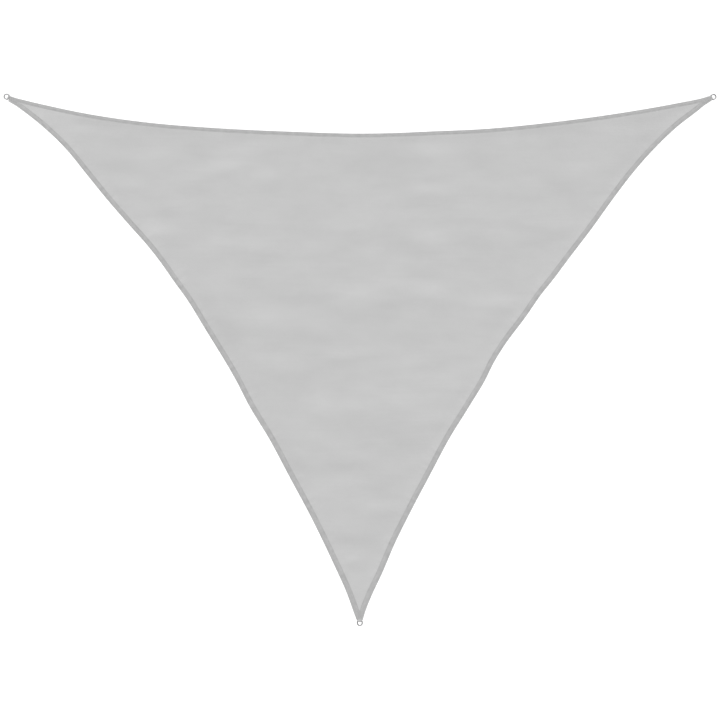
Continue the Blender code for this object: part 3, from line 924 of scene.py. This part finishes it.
# %% Sizes of the ring and the webbing
WIRE_RADIUS = 0.003
BOW_RADIUS = 0.0137
EYE_TO_BAR = 0.0115
BEND_RADIUS = 0.0038
BAR_HEIGHT = 0.0047
WEB_WIDTH = 0.0206
WEB_THICK = 0.0013
WEB_END = 0.070
WEB_ROUND = WIRE_RADIUS + LAYER_GAP + WEB_THICK / 2
WEB_TURN = math.radians(20)
WEB_EASE = 0.012
WEB_BEVEL = 0.00042
SLACK = 0.0001
LOWER_LEVEL = BAR_HEIGHT - WEB_ROUND
UPPER_LEVEL = THREAD_ROOM + LIFT + EDGE_THICK + LAYER_GAP + WEB_THICK / 2
LEG_STEPS = 24
TURN_STEPS = 26
EASE_STEPS = 6
WEB_COLUMNS = 12


# %% Draw the strap's middle line
def web_path():
    """Middle line of the strap in the XZ plane, from the lower leg's end to the upper leg's end."""
    path = [(WEB_END - (WEB_END - EYE_TO_BAR) * k / LEG_STEPS, LOWER_LEVEL) for k in range(LEG_STEPS)]
    for k in range(TURN_STEPS + 1):
        angle = -math.pi / 2 - (math.pi + WEB_TURN) * k / TURN_STEPS
        path.append((EYE_TO_BAR + WEB_ROUND * math.cos(angle), BAR_HEIGHT + WEB_ROUND * math.sin(angle)))
    x, z = path[-1]
    cos, sin = math.cos(WEB_TURN), math.sin(WEB_TURN)
    straight = (z - UPPER_LEVEL - WEB_EASE * (1 - cos)) / sin
    x, z = x + straight * cos, z - straight * sin
    for k in range(EASE_STEPS + 1):
        angle = WEB_TURN * (1 - k / EASE_STEPS)
        path.append((x + WEB_EASE * (sin - math.sin(angle)), z - WEB_EASE * (math.cos(angle) - cos)))
    start = path[-1][0]
    path += [(start + (WEB_END - start) * k / LEG_STEPS, UPPER_LEVEL) for k in range(1, LEG_STEPS + 1)]
    return np.array(path), straight


WEB_PATH, WEB_STRAIGHT = web_path()
WEB_CHORDS = np.diff(WEB_PATH, axis=0)
WEB_TRAVEL = travel(WEB_PATH)
print("webbing strip:", round(WEB_TRAVEL[-1] * 1000, 1), "mm long")


# %% Model the webbing by extrude and spin
def extrude_by(x, y, z, steps=1):
    """Extrude the selected section in equal steps."""
    for _ in range(steps):
        move = (x / steps, y / steps, z / steps)
        bpy.ops.mesh.extrude_region_move(TRANSFORM_OT_translate={"value": move})


def spin_by(angle, centre, axis, steps):
    """Spin the selected section round an axis."""
    bpy.ops.mesh.spin(steps=steps, angle=angle, center=centre, axis=axis)


def select_where(item, kind, test):
    """In edit mode, select only the points or edges that pass a test."""
    bpy.ops.mesh.select_all(action="DESELECT")
    shape = bmesh.from_edit_mesh(item.data)
    for part in getattr(shape, kind):
        part.select_set(test(part))
    bmesh.update_edit_mesh(item.data)


def model_webbing():
    """Extrude a rounded section along the lower leg, round the bar and along the upper leg."""
    item = start_model("plane", (WEB_THICK, WEB_WIDTH, 1), size=1, location=(WEB_END, 0, LOWER_LEVEL))
    select_where(item, "edges", lambda e: abs(e.verts[0].co.y - e.verts[1].co.y) > WEB_WIDTH / 2)
    bpy.ops.mesh.subdivide(number_cuts=WEB_COLUMNS - 1)
    select_where(item, "verts", lambda v: abs(v.co.y) > WEB_WIDTH / 2 - SLACK)
    bpy.ops.mesh.bevel(affect="VERTICES", offset=WEB_BEVEL, segments=2)
    bpy.ops.mesh.select_all(action="SELECT")
    extrude_by(EYE_TO_BAR - WEB_END, 0, 0, LEG_STEPS)
    spin_by(-math.pi - WEB_TURN, (EYE_TO_BAR, 0, BAR_HEIGHT), (0, 1, 0), TURN_STEPS)
    extrude_by(WEB_STRAIGHT * math.cos(WEB_TURN), 0, -WEB_STRAIGHT * math.sin(WEB_TURN), 2)
    x, z = WEB_PATH[-LEG_STEPS - 1]
    spin_by(WEB_TURN, (x, 0, z + WEB_EASE), (0, 1, 0), EASE_STEPS)
    extrude_by(WEB_END - x, 0, 0, LEG_STEPS)
    close_model(gap=0.000005)
    return item


webbing_model = model_webbing()
reach = read_points(webbing_model.data).max(axis=0)
print("webbing reaches", [round(float(r), 5) for r in reach])

# %% [markdown]
# The strap is pressed in where thread holds it. Each leg is sewn with a box and a cross, the strongest
# seam for a strap end, so the same lines serve twice: they tell where the webbing dips, and where the
# stitches go.

# %% Lines of the box and the cross
BOX_NEAR = 0.0290
BOX_FAR = 0.0655
BOX_HALF = 0.0072
WEB_DIP = 0.00022
WEB_DIP_REACH = 0.0017
BOX_PITCH = 0.0063
OFF_MIDDLE = 0.0003
BOX_CORNERS = ((BOX_NEAR, -BOX_HALF), (BOX_FAR, -BOX_HALF), (BOX_FAR, BOX_HALF), (BOX_NEAR, BOX_HALF))
BOX_STARTS = np.array([BOX_CORNERS[k] for k in (0, 1, 2, 3, 0, 1)])
BOX_CHORDS = np.array([BOX_CORNERS[k] for k in (1, 2, 3, 0, 2, 3)]) - BOX_STARTS


def nearest_line(points, starts, chords):
    """Distance of each point from the nearest of several lines, which one it is, and the share along it."""
    away = points[:, None] - starts
    share = np.clip(np.sum(away * chords, axis=2) / np.sum(chords * chords, axis=1), 0, 1)
    miss = np.linalg.norm(away - chords * share[..., None], axis=2)
    best = np.argmin(miss, axis=1)
    rows = np.arange(len(points))
    return miss[rows, best], best, share[rows, best]


def press_webbing(item):
    """Dip both faces of the legs along the sewn lines, and give the strap its unrolled UV map."""
    points = read_points(item.data)
    away = nearest_line(points[:, :2], BOX_STARTS, BOX_CHORDS)[0]
    upper_face = (points[:, 2] > UPPER_LEVEL + OFF_MIDDLE) & (points[:, 0] > EYE_TO_BAR)
    lower_face = points[:, 2] < LOWER_LEVEL - OFF_MIDDLE
    points[:, 2] += WEB_DIP * np.exp(-((away / WEB_DIP_REACH) ** 2)) * (lower_face * 1.0 - upper_face)
    _, line, share = nearest_line(points[:, ::2], WEB_PATH[:-1], WEB_CHORDS)
    along = WEB_TRAVEL[line] + np.diff(WEB_TRAVEL)[line] * share
    item.data.vertices.foreach_set("co", points.ravel())
    give_uv(item.data, "along_strap", np.column_stack((along, points[:, 1])))
    item.data.update()


press_webbing(webbing_model)
smooth_by_angle(webbing_model, 35)
print("box seam:", len(BOX_STARTS), "lines")


# %% Copy a model to the three corners
def corner_matrix(corner):
    """Carries a model with its eye at the origin and X into the cloth to a corner."""
    turned = Matrix.Rotation(math.radians(CORNERS[corner][1]), 4, "Z")
    return Matrix.Translation((*EYES[corner], 0)) @ turned


def copy_to_corners(model, name):
    """One object for each corner, each with its own mesh, placed in its mesh."""
    made = {}
    for corner in CORNERS:
        mesh = model.data.copy()
        mesh.name = name + corner
        mesh.transform(corner_matrix(corner))
        made[corner] = new_object(name + corner, mesh)
    bpy.data.objects.remove(model, do_unlink=True)
    return made


webbings = copy_to_corners(webbing_model, "corner_webbing_")
tell(webbings.values())


# %% Sew the webbing
def sew_corner(corner):
    """Box and cross stitches on both legs of one corner."""
    rows = []
    for level, face in ((UPPER_LEVEL + WEB_THICK / 2, 1), (LOWER_LEVEL - WEB_THICK / 2, -1)):
        for start, chord in zip(BOX_STARTS, BOX_CHORDS):
            long = np.linalg.norm(chord)
            count = max(round(long / BOX_PITCH), 2)
            plan = start + chord * ((np.arange(count) + 0.5) / count)[:, None]
            places = np.column_stack((plan, np.full(count, level - face * WEB_DIP)))
            aims = np.tile((*(chord / long), 0.0), (count, 1))
            rows.append((places, aims, np.tile((0.0, 0.0, float(face)), (count, 1))))
    seed = SEEDS["box"] + list(CORNERS).index(corner)
    item = copy_stitches("corner_stitches_" + corner, rows, seed)
    item.data.transform(corner_matrix(corner))
    return item


corner_seams = {corner: sew_corner(corner) for corner in CORNERS}
tell(corner_seams.values())

# %% [markdown]
# ## Rings
#
# Each ring is steel wire bent to a D. Its section is a circle, spun through the half turn of the bow,
# extruded along one side, spun round a bend, extruded along the bar, and so on until it meets its start.
# The bar lies inside the webbing and the far end of the bow rests on the floor, so the ring leans a few
# degrees.

# %% Model the ring
WIRE_SIDES = 24
BOW_STEPS = 40
BEND_STEPS = 10


def model_ring():
    """A D of round wire with its eye at the origin and its bar on the side of the cloth."""
    straight = EYE_TO_BAR - BEND_RADIUS
    corner = BOW_RADIUS - BEND_RADIUS
    item = start_model("circle", vertices=WIRE_SIDES, radius=WIRE_RADIUS, location=(0, BOW_RADIUS, 0))
    spin_by(-math.pi, (0, 0, 0), (0, 0, 1), BOW_STEPS)
    extrude_by(straight, 0, 0)
    spin_by(-math.pi / 2, (straight, -corner, 0), (0, 0, 1), BEND_STEPS)
    extrude_by(0, 2 * corner, 0)
    spin_by(-math.pi / 2, (straight, corner, 0), (0, 0, 1), BEND_STEPS)
    extrude_by(-straight, 0, 0)
    close_model(gap=0.00002)
    lean = math.atan((BAR_HEIGHT - WIRE_RADIUS) / (EYE_TO_BAR + BOW_RADIUS))
    bar = Matrix.Translation((EYE_TO_BAR, 0, 0))
    turned = bar @ Matrix.Rotation(-lean, 4, "Y") @ bar.inverted()
    item.data.transform(Matrix.Translation((0, 0, BAR_HEIGHT)) @ turned)
    smooth_by_angle(item, 60)
    return item


ring_model = model_ring()
print("lowest point of a ring:", round(read_points(ring_model.data)[:, 2].min() * 1000, 2), "mm")
rings = copy_to_corners(ring_model, "ring_wire_")
tell(rings.values())

# %% [markdown]
# ## Finishes
#
# Every finish is made of nodes. What several of them need, such as an uneven tone or a woven surface, is
# a node group: a small machine with named inputs and outputs, built once and set differently each time.

# %% Node helpers
def add_node(tree, kind, inputs=None, **settings):
    """Add a shader node, set its options, and set or link its inputs by name or number."""
    node = tree.nodes.new("ShaderNode" + kind)
    for name, value in settings.items():
        setattr(node, name, value)
    for socket, value in (inputs or {}).items():
        if isinstance(value, bpy.types.NodeSocket):
            tree.links.new(value, node.inputs[socket])
        else:
            node.inputs[socket].default_value = value
    return node


def maths(tree, operation, *values):
    """One Math node, linked or set in order."""
    return add_node(tree, "Math", dict(enumerate(values)), operation=operation).outputs[0]


def product(tree, first, *others):
    """Several values multiplied together."""
    for value in others:
        first = maths(tree, "MULTIPLY", first, value)
    return first


def scaled(tree, value, factor, offset):
    """A value times a factor, plus an offset."""
    return maths(tree, "MULTIPLY_ADD", value, factor, offset)


def humps(tree, value):
    """A row of round humps from 0 to 1, one for each whole step of the value."""
    return maths(tree, "ABSOLUTE", maths(tree, "SINE", maths(tree, "MULTIPLY", value, math.pi)))


def remap(tree, value, low, high, to_low, to_high):
    """A smooth step of a value from one range to another."""
    inputs = {0: value, 1: low, 2: high, 3: to_low, 4: to_high}
    return add_node(tree, "MapRange", inputs, interpolation_type="SMOOTHSTEP").outputs[0]


def split(tree, vector):
    """The X, Y and Z of a vector."""
    return add_node(tree, "SeparateXYZ", {0: vector}).outputs


def new_group(name, inputs, outputs):
    """An empty node group with a vector, float inputs and float outputs, and its end nodes' sockets."""
    group = bpy.data.node_groups.new(name, "ShaderNodeTree")
    group.interface.new_socket(name="Vector", in_out="INPUT", socket_type="NodeSocketVector")
    for title, value in inputs.items():
        socket = group.interface.new_socket(name=title, in_out="INPUT", socket_type="NodeSocketFloat")
        socket.default_value = value
    for title in outputs:
        group.interface.new_socket(name=title, in_out="OUTPUT", socket_type="NodeSocketFloat")
    return group, group.nodes.new("NodeGroupInput").outputs, group.nodes.new("NodeGroupOutput").inputs


def place_group(tree, group, place, **inputs):
    """Place a node group with its own values."""
    return add_node(tree, "Group", {"Vector": place, **inputs}, node_tree=group).outputs


# %% Group: uneven tone
# Noise keeps close to its middle, so it is spread by this factor to reach about 1 on both sides.
NOISE_SPREAD = 3.2


def build_uneven_tone():
    """Soft patches of a given length and width, as a factor round 1."""
    inputs = {"Long": 0.3, "Short": 0.08, "Strength": 0.03, "Detail": 3.0}
    group, given, result = new_group("uneven tone", inputs, ("Tone",))
    inverse = [maths(group, "DIVIDE", 1.0, given[name]) for name in ("Long", "Short", "Short")]
    scale = add_node(group, "CombineXYZ", dict(enumerate(inverse))).outputs[0]
    place = add_node(group, "VectorMath", {0: given["Vector"], 1: scale}, operation="MULTIPLY").outputs[0]
    settings = {"Vector": place, "Scale": 1.0, "Detail": given["Detail"], "Roughness": 0.5}
    patch = add_node(group, "TexNoise", settings).outputs[0]
    around = maths(group, "MULTIPLY", maths(group, "SUBTRACT", patch, 0.5), NOISE_SPREAD)
    group.links.new(scaled(group, around, given["Strength"], 1.0), result["Tone"])
    return group


UNEVEN_TONE = build_uneven_tone()


def uneven(tree, place, long, short, strength, detail=3.0):
    """A tone round 1 with patches of this length and width."""
    inputs = {"Long": long, "Short": short, "Strength": strength, "Detail": detail}
    return place_group(tree, UNEVEN_TONE, place, **inputs)["Tone"]


# %% Group: knitted mesh
def build_knit():
    """Chains of loops along X, and flat filling threads that zigzag between them.

    Height is the relief, Cover is 1 on thread and 0 in the small holes, and Chain is 1 on the chains."""
    inputs = {"Wale": 0.0032, "Course": 0.0024}
    group, given, result = new_group("knitted mesh", inputs, ("Height", "Cover", "Chain"))
    x, y, _ = split(group, given["Vector"])
    wale = maths(group, "DIVIDE", y, given["Wale"])
    within = maths(group, "ABSOLUTE", maths(group, "SUBTRACT", maths(group, "FRACT", wale), 0.5))
    chain = remap(group, within, 0.10, 0.27, 1.0, 0.0)
    course = maths(group, "DIVIDE", x, given["Course"])
    shifted = scaled(group, maths(group, "FLOOR", wale), 0.37, course)
    loops = maths(group, "SINE", maths(group, "MULTIPLY", shifted, 4 * math.pi))
    filling = humps(group, maths(group, "ADD", within, shifted))
    thread = remap(group, filling, 0.22, 0.62, 0.0, 1.0)
    cover = maths(group, "MAXIMUM", chain, thread)
    round_chain = maths(group, "MULTIPLY", chain, scaled(group, loops, 0.18, 0.82))
    height = maths(group, "MAXIMUM", round_chain, maths(group, "MULTIPLY", thread, 0.55))
    for title, value in (("Height", height), ("Cover", cover), ("Chain", chain)):
        group.links.new(value, result[title])
    return group


KNIT = build_knit()


# %% Group: woven strip
def build_strip_weave():
    """Ribs along U, each crossed by picks that sit half a step on from their neighbour's."""
    group, given, result = new_group("woven strip", {"Rib": 0.0012, "Pick": 0.0016}, ("Height",))
    u, v, _ = split(group, given["Vector"])
    rib = maths(group, "DIVIDE", v, given["Rib"])
    odd = maths(group, "MULTIPLY", maths(group, "MODULO", maths(group, "FLOOR", rib), 2.0), 0.5)
    bump = humps(group, maths(group, "ADD", maths(group, "DIVIDE", u, given["Pick"]), odd))
    across = maths(group, "POWER", humps(group, rib), 0.6)
    group.links.new(maths(group, "MULTIPLY", across, scaled(group, bump, 0.5, 0.5)), result["Height"])
    return group


STRIP_WEAVE = build_strip_weave()


# %% Start and finish a material
def new_material(name, roughness, metallic=0.0):
    """A material with its tree to add nodes to, and its shader's inputs."""
    material = bpy.data.materials.new(name)
    material.use_nodes = True
    shader = material.node_tree.nodes["Principled BSDF"].inputs
    shader["Roughness"].default_value = roughness
    shader["Metallic"].default_value = metallic
    return material, material.node_tree, shader


def set_fibre(shader, shine, sheen):
    """The dull shine and the faint fuzz of fibres."""
    shader["Specular IOR Level"].default_value = shine
    shader["Sheen Weight"].default_value = sheen


def link_finish(tree, shader, colour, tone, bump, rough):
    """A colour made lighter or darker by a tone, a bump (height, distance, strength) and a roughness."""
    shade = add_node(tree, "CombineXYZ", {0: tone, 1: tone, 2: tone}).outputs[0]
    tinted = add_node(tree, "VectorMath", {0: colour, 1: shade}, operation="MULTIPLY").outputs[0]
    normal = add_node(tree, "Bump", dict(zip(("Height", "Distance", "Strength"), bump))).outputs[0]
    for value, socket in ((tinted, "Base Color"), (normal, "Normal"), (rough, "Roughness")):
        tree.links.new(value, shader[socket])


# %% [markdown]
# ### Knitted cloth
#
# Shade cloth is knitted from flat plastic threads: chains of small loops run across the panel, and
# filling threads zigzag between them and leave pinholes for the wind. The pinholes are painted darker,
# as painted shade of the floor under the cloth, and the chains a touch lighter, as painted highlight.
# The filling is never quite even, so long patches come out a touch lighter or darker. The pattern reads
# Object coordinates, because the cloth lies flat: it then has its true size without any unwrapping.

# %% Cloth material
CLOTH_COLOUR = (0.500, 0.500, 0.500)


def make_cloth_material():
    """Knitted cloth with long uneven patches, painted shade in its pinholes and painted highlights on its
    chains.
    """
    material, tree, shader = new_material("knitted cloth", 0.8)
    place = add_node(tree, "TexCoord").outputs["Object"]
    knit = place_group(tree, KNIT, place)
    # Tighter and looser knit, and painted light and shade of creases and of the light across the sail.
    knit_and_shade = add_node(tree, "Attribute", attribute_name="knit_and_painted_shade").outputs["Fac"]
    patches = maths(tree, "ADD", uneven(tree, place, long=0.19, short=0.080, strength=0.034), knit_and_shade)
    streaks = uneven(tree, place, long=0.22, short=0.006, strength=0.016, detail=2.0)
    # Pinholes painted darker as painted shade of the floor under the cloth, the thread a touch lighter.
    relief_light_and_shade = remap(tree, knit["Cover"], 0.0, 1.0, 0.86, 1.025)
    # The chains are painted a touch lighter: a painted highlight on their loops.
    chain_highlight = scaled(tree, knit["Chain"], 0.03, 0.985)
    tone = product(tree, patches, streaks, relief_light_and_shade, chain_highlight)
    rough = scaled(tree, knit["Cover"], -0.14, 0.9)
    link_finish(tree, shader, CLOTH_COLOUR, tone, (knit["Height"], 0.0004, 0.6), rough)
    set_fibre(shader, shine=0.3, sheen=0.08)
    return material


cloth_material = make_cloth_material()
print("made", cloth_material.name)

# %% [markdown]
# ### Tape, webbing and thread
#
# The tape and the webbing are woven, so their pattern has to follow them round the fold and round the
# bar. Each strip carries a UV map that unrolls it: U is the distance along, V the distance across, both
# in metres. The tape also carries an attribute that is 1 on its rows of stitches: there the needle
# leaves small holes, painted darker as painted shade in them, and irregular lighter and darker spots
# are painted light and shade of the puckers that the sewing gathers. On the tape, the webbing and the
# thread, raised weave or strands are painted lighter and the grooves darker, as painted light and shade.

# %% Tape material
TAPE_COLOUR = (0.406, 0.406, 0.406)


def make_tape_material():
    """Woven binding tape with painted light and shade of its puckers, its weave and its needle holes."""
    material, tree, shader = new_material("binding tape", 0.78)
    place = add_node(tree, "UVMap", uv_map="along_tape").outputs[0]
    weave = place_group(tree, STRIP_WEAVE, place, Rib=0.0011, Pick=0.0015)["Height"]
    seam = add_node(tree, "Attribute", attribute_name="seam").outputs["Fac"]
    # Lighter and darker spots, strongest on the seams: painted light and shade of the sewn puckers.
    blotches = uneven(tree, place, long=0.034, short=0.016, strength=0.14, detail=1.0)
    spots = maths(tree, "SUBTRACT", blotches, 1.0)
    pucker_light_and_shade = scaled(tree, spots, scaled(tree, seam, 0.8, 0.5), 1.0)
    soft = uneven(tree, place, long=0.4, short=0.1, strength=0.02)
    around = maths(tree, "MULTIPLY", split(tree, place)[0], 2 * math.pi / STITCH_PITCH)
    needle = remap(tree, maths(tree, "COSINE", around), 0.5, 1.0, 0.0, 1.0)
    holes = maths(tree, "MULTIPLY", needle, seam)
    # Raised weave lighter and grooves darker: painted light and shade of the weave.
    relief_light_and_shade = remap(tree, weave, 0.1, 0.9, 0.90, 1.06)
    # The tone is darker at each needle hole: painted shade in the hole.
    tone = product(tree, pucker_light_and_shade, soft, relief_light_and_shade, scaled(tree, holes, -0.12, 1.0))
    bump = (scaled(tree, holes, -0.8, weave), 0.00022, 0.7)
    link_finish(tree, shader, TAPE_COLOUR, tone, bump, scaled(tree, weave, -0.12, 0.84))
    set_fibre(shader, shine=0.3, sheen=0.08)
    return material


tape_material = make_tape_material()
print("made", tape_material.name)

# %% Webbing material
WEB_COLOUR = (0.400, 0.400, 0.400)

# Half widths between which the worn selvedge sets in.
SELVEDGE = (WEB_WIDTH / 2 - 0.0016, WEB_WIDTH / 2 - 0.0002)


def make_webbing_material():
    """Heavy woven strap with raised ribs, painted light on the ribs and painted shade in its grooves, worn
    at its edges.
    """
    material, tree, shader = new_material("corner webbing", 0.7)
    place = add_node(tree, "UVMap", uv_map="along_strap").outputs[0]
    weave = place_group(tree, STRIP_WEAVE, place, Rib=0.0020, Pick=0.0017)["Height"]
    soft = uneven(tree, place, long=0.02, short=0.008, strength=0.05)
    off_middle = maths(tree, "ABSOLUTE", split(tree, place)[1])
    selvedge = remap(tree, off_middle, *SELVEDGE, 1.0, 1.06)
    # The ribs are painted lighter and the grooves darker: painted light and shade of the weave.
    tone = product(tree, soft, remap(tree, weave, 0.1, 0.95, 0.84, 1.08), selvedge)
    rough = scaled(tree, weave, -0.15, 0.8)
    link_finish(tree, shader, WEB_COLOUR, tone, (weave, 0.00035, 0.8), rough)
    set_fibre(shader, shine=0.35, sheen=0.10)
    return material


webbing_material = make_webbing_material()
print("made", webbing_material.name)

# %% Thread material
THREAD_COLOUR = (0.400, 0.400, 0.400)

# Distance from strand to strand, along a stitch and round it.
TWIST = (0.0011, 0.0009)


def make_thread_material():
    """Twisted sewing thread: slanting strands along every stitch, with painted shade between the strands."""
    material, tree, shader = new_material("sewing thread", 0.6)
    place = add_node(tree, "UVMap", uv_map="along_thread").outputs[0]
    turns = [maths(tree, "DIVIDE", part, pitch) for part, pitch in zip(split(tree, place), TWIST)]
    strand = humps(tree, maths(tree, "ADD", *turns))
    spread = uneven(tree, place, long=0.03, short=0.03, strength=0.06)
    # The strands are painted lighter and the grooves between them darker: painted light and shade.
    tone = product(tree, spread, remap(tree, strand, 0.0, 0.8, 0.80, 1.06))
    rough = scaled(tree, strand, -0.12, 0.66)
    link_finish(tree, shader, THREAD_COLOUR, tone, (strand, 0.00012, 0.6), rough)
    return material


thread_material = make_thread_material()
print("made", thread_material.name)

# %% [markdown]
# ### Steel
#
# The rings are drawn stainless wire. Drawing leaves hair-fine lines along the wire and handling leaves
# it a little duller in places, so the roughness and a faint bump vary. Metal has no colour of its
# own but what it mirrors, so its Base Color stays a near-even grey.

# %% Steel material
STEEL_COLOUR = (0.28, 0.28, 0.285)


def make_steel_material():
    """Drawn stainless wire with fine marks."""
    material, tree, shader = new_material("steel wire", 0.3, 1.0)
    place = add_node(tree, "TexCoord").outputs["Object"]
    dull = uneven(tree, place, long=0.006, short=0.006, strength=0.08)
    marks = uneven(tree, place, long=0.0007, short=0.0007, strength=0.05, detail=4.0)
    rough = product(tree, dull, marks, 0.45)
    link_finish(tree, shader, STEEL_COLOUR, dull, (marks, 0.00006, 0.3), rough)
    return material


steel_material = make_steel_material()
print("made", steel_material.name)


# %% [markdown]
# ## Put the finishes on and join the frame
#
# Every new piece rides on the part's one body. It replaces the plain solid that it stands for, and
# takes one of the finishes made above.

# %% Finish, ride and replace
def join_frame(item, material, stands_for=None):
    """Give a piece its material and its place in the frame."""
    item.data.materials.clear()
    item.data.materials.append(material)
    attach(item, "root")
    if stands_for:
        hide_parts(stands_for)


join_frame(sail_panel, cloth_material, "sail_cloth")
for edge in EDGES:
    join_frame(tapes[edge], tape_material, "binding_" + edge)
    join_frame(seams[edge], thread_material)
for corner in CORNERS:
    join_frame(webbings[corner], webbing_material, "tab_" + corner)
    join_frame(corner_seams[corner], thread_material)
    join_frame(rings[corner], steel_material, "ring_" + corner)
groups = (tapes, seams, webbings, corner_seams, rings)
shown = [sail_panel] + [item for group in groups for item in group.values()]
print(len(shown), "pieces,", triangles(*shown), "triangles")

# %% [markdown]
# ## Floor and light
#
# The sail lies on a plain white floor under soft studio light. A broad sun stands towards the top edge,
# so the low creases get a lighter and a darker flank, and an even sky fills the rest. The floor glows
# like a light table, which keeps it pure white right up to the edges of the sail.

# %% Floor, sun and sky
# The floor lies a hair below the sail, so that no two faces share a place.
FLOOR_LEVEL = -0.0002
FLOOR_SIZE = 60.0
FLOOR_COLOUR = (0.92, 0.92, 0.92, 1.0)
WHITE = (1.0, 1.0, 1.0, 1.0)
FLOOR_GLOW = 0.15
SUN_STRENGTH = 3.2
SUN_HEIGHT = 42
SUN_FROM = 14
SUN_SPREAD = 26
SKY_STRENGTH = 0.47

bpy.ops.object.select_all(action="DESELECT")
bpy.ops.mesh.primitive_plane_add(size=FLOOR_SIZE, location=(0, 0, FLOOR_LEVEL))
floor = bpy.context.object
floor.name = "floor"
floor_material, _, floor_shader = new_material("floor", 0.9)
floor_shader["Base Color"].default_value = FLOOR_COLOUR
floor_shader["Specular IOR Level"].default_value = 0.2
floor_shader["Emission Color"].default_value = WHITE
floor_shader["Emission Strength"].default_value = FLOOR_GLOW
floor.data.materials.append(floor_material)

sun_data = bpy.data.lights.new("sun", "SUN")
sun_data.energy = SUN_STRENGTH
sun_data.angle = math.radians(SUN_SPREAD)
sun_data.use_shadow = False
sun = new_object("sun", sun_data)
tilt = Matrix.Rotation(-math.radians(90 - SUN_HEIGHT), 4, "X")
sun.matrix_world = Matrix.Rotation(math.radians(SUN_FROM), 4, "Z") @ tilt

world = bpy.data.worlds.new("sky")
world.use_nodes = True
sky = world.node_tree.nodes["Background"]
sky.inputs["Color"].default_value = WHITE
sky.inputs["Strength"].default_value = SKY_STRENGTH
bpy.context.scene.world = world
bpy.context.scene.view_settings.view_transform = "Standard"
print("light from", [round(v, 2) for v in sun.matrix_world.to_3x3().col[2]])
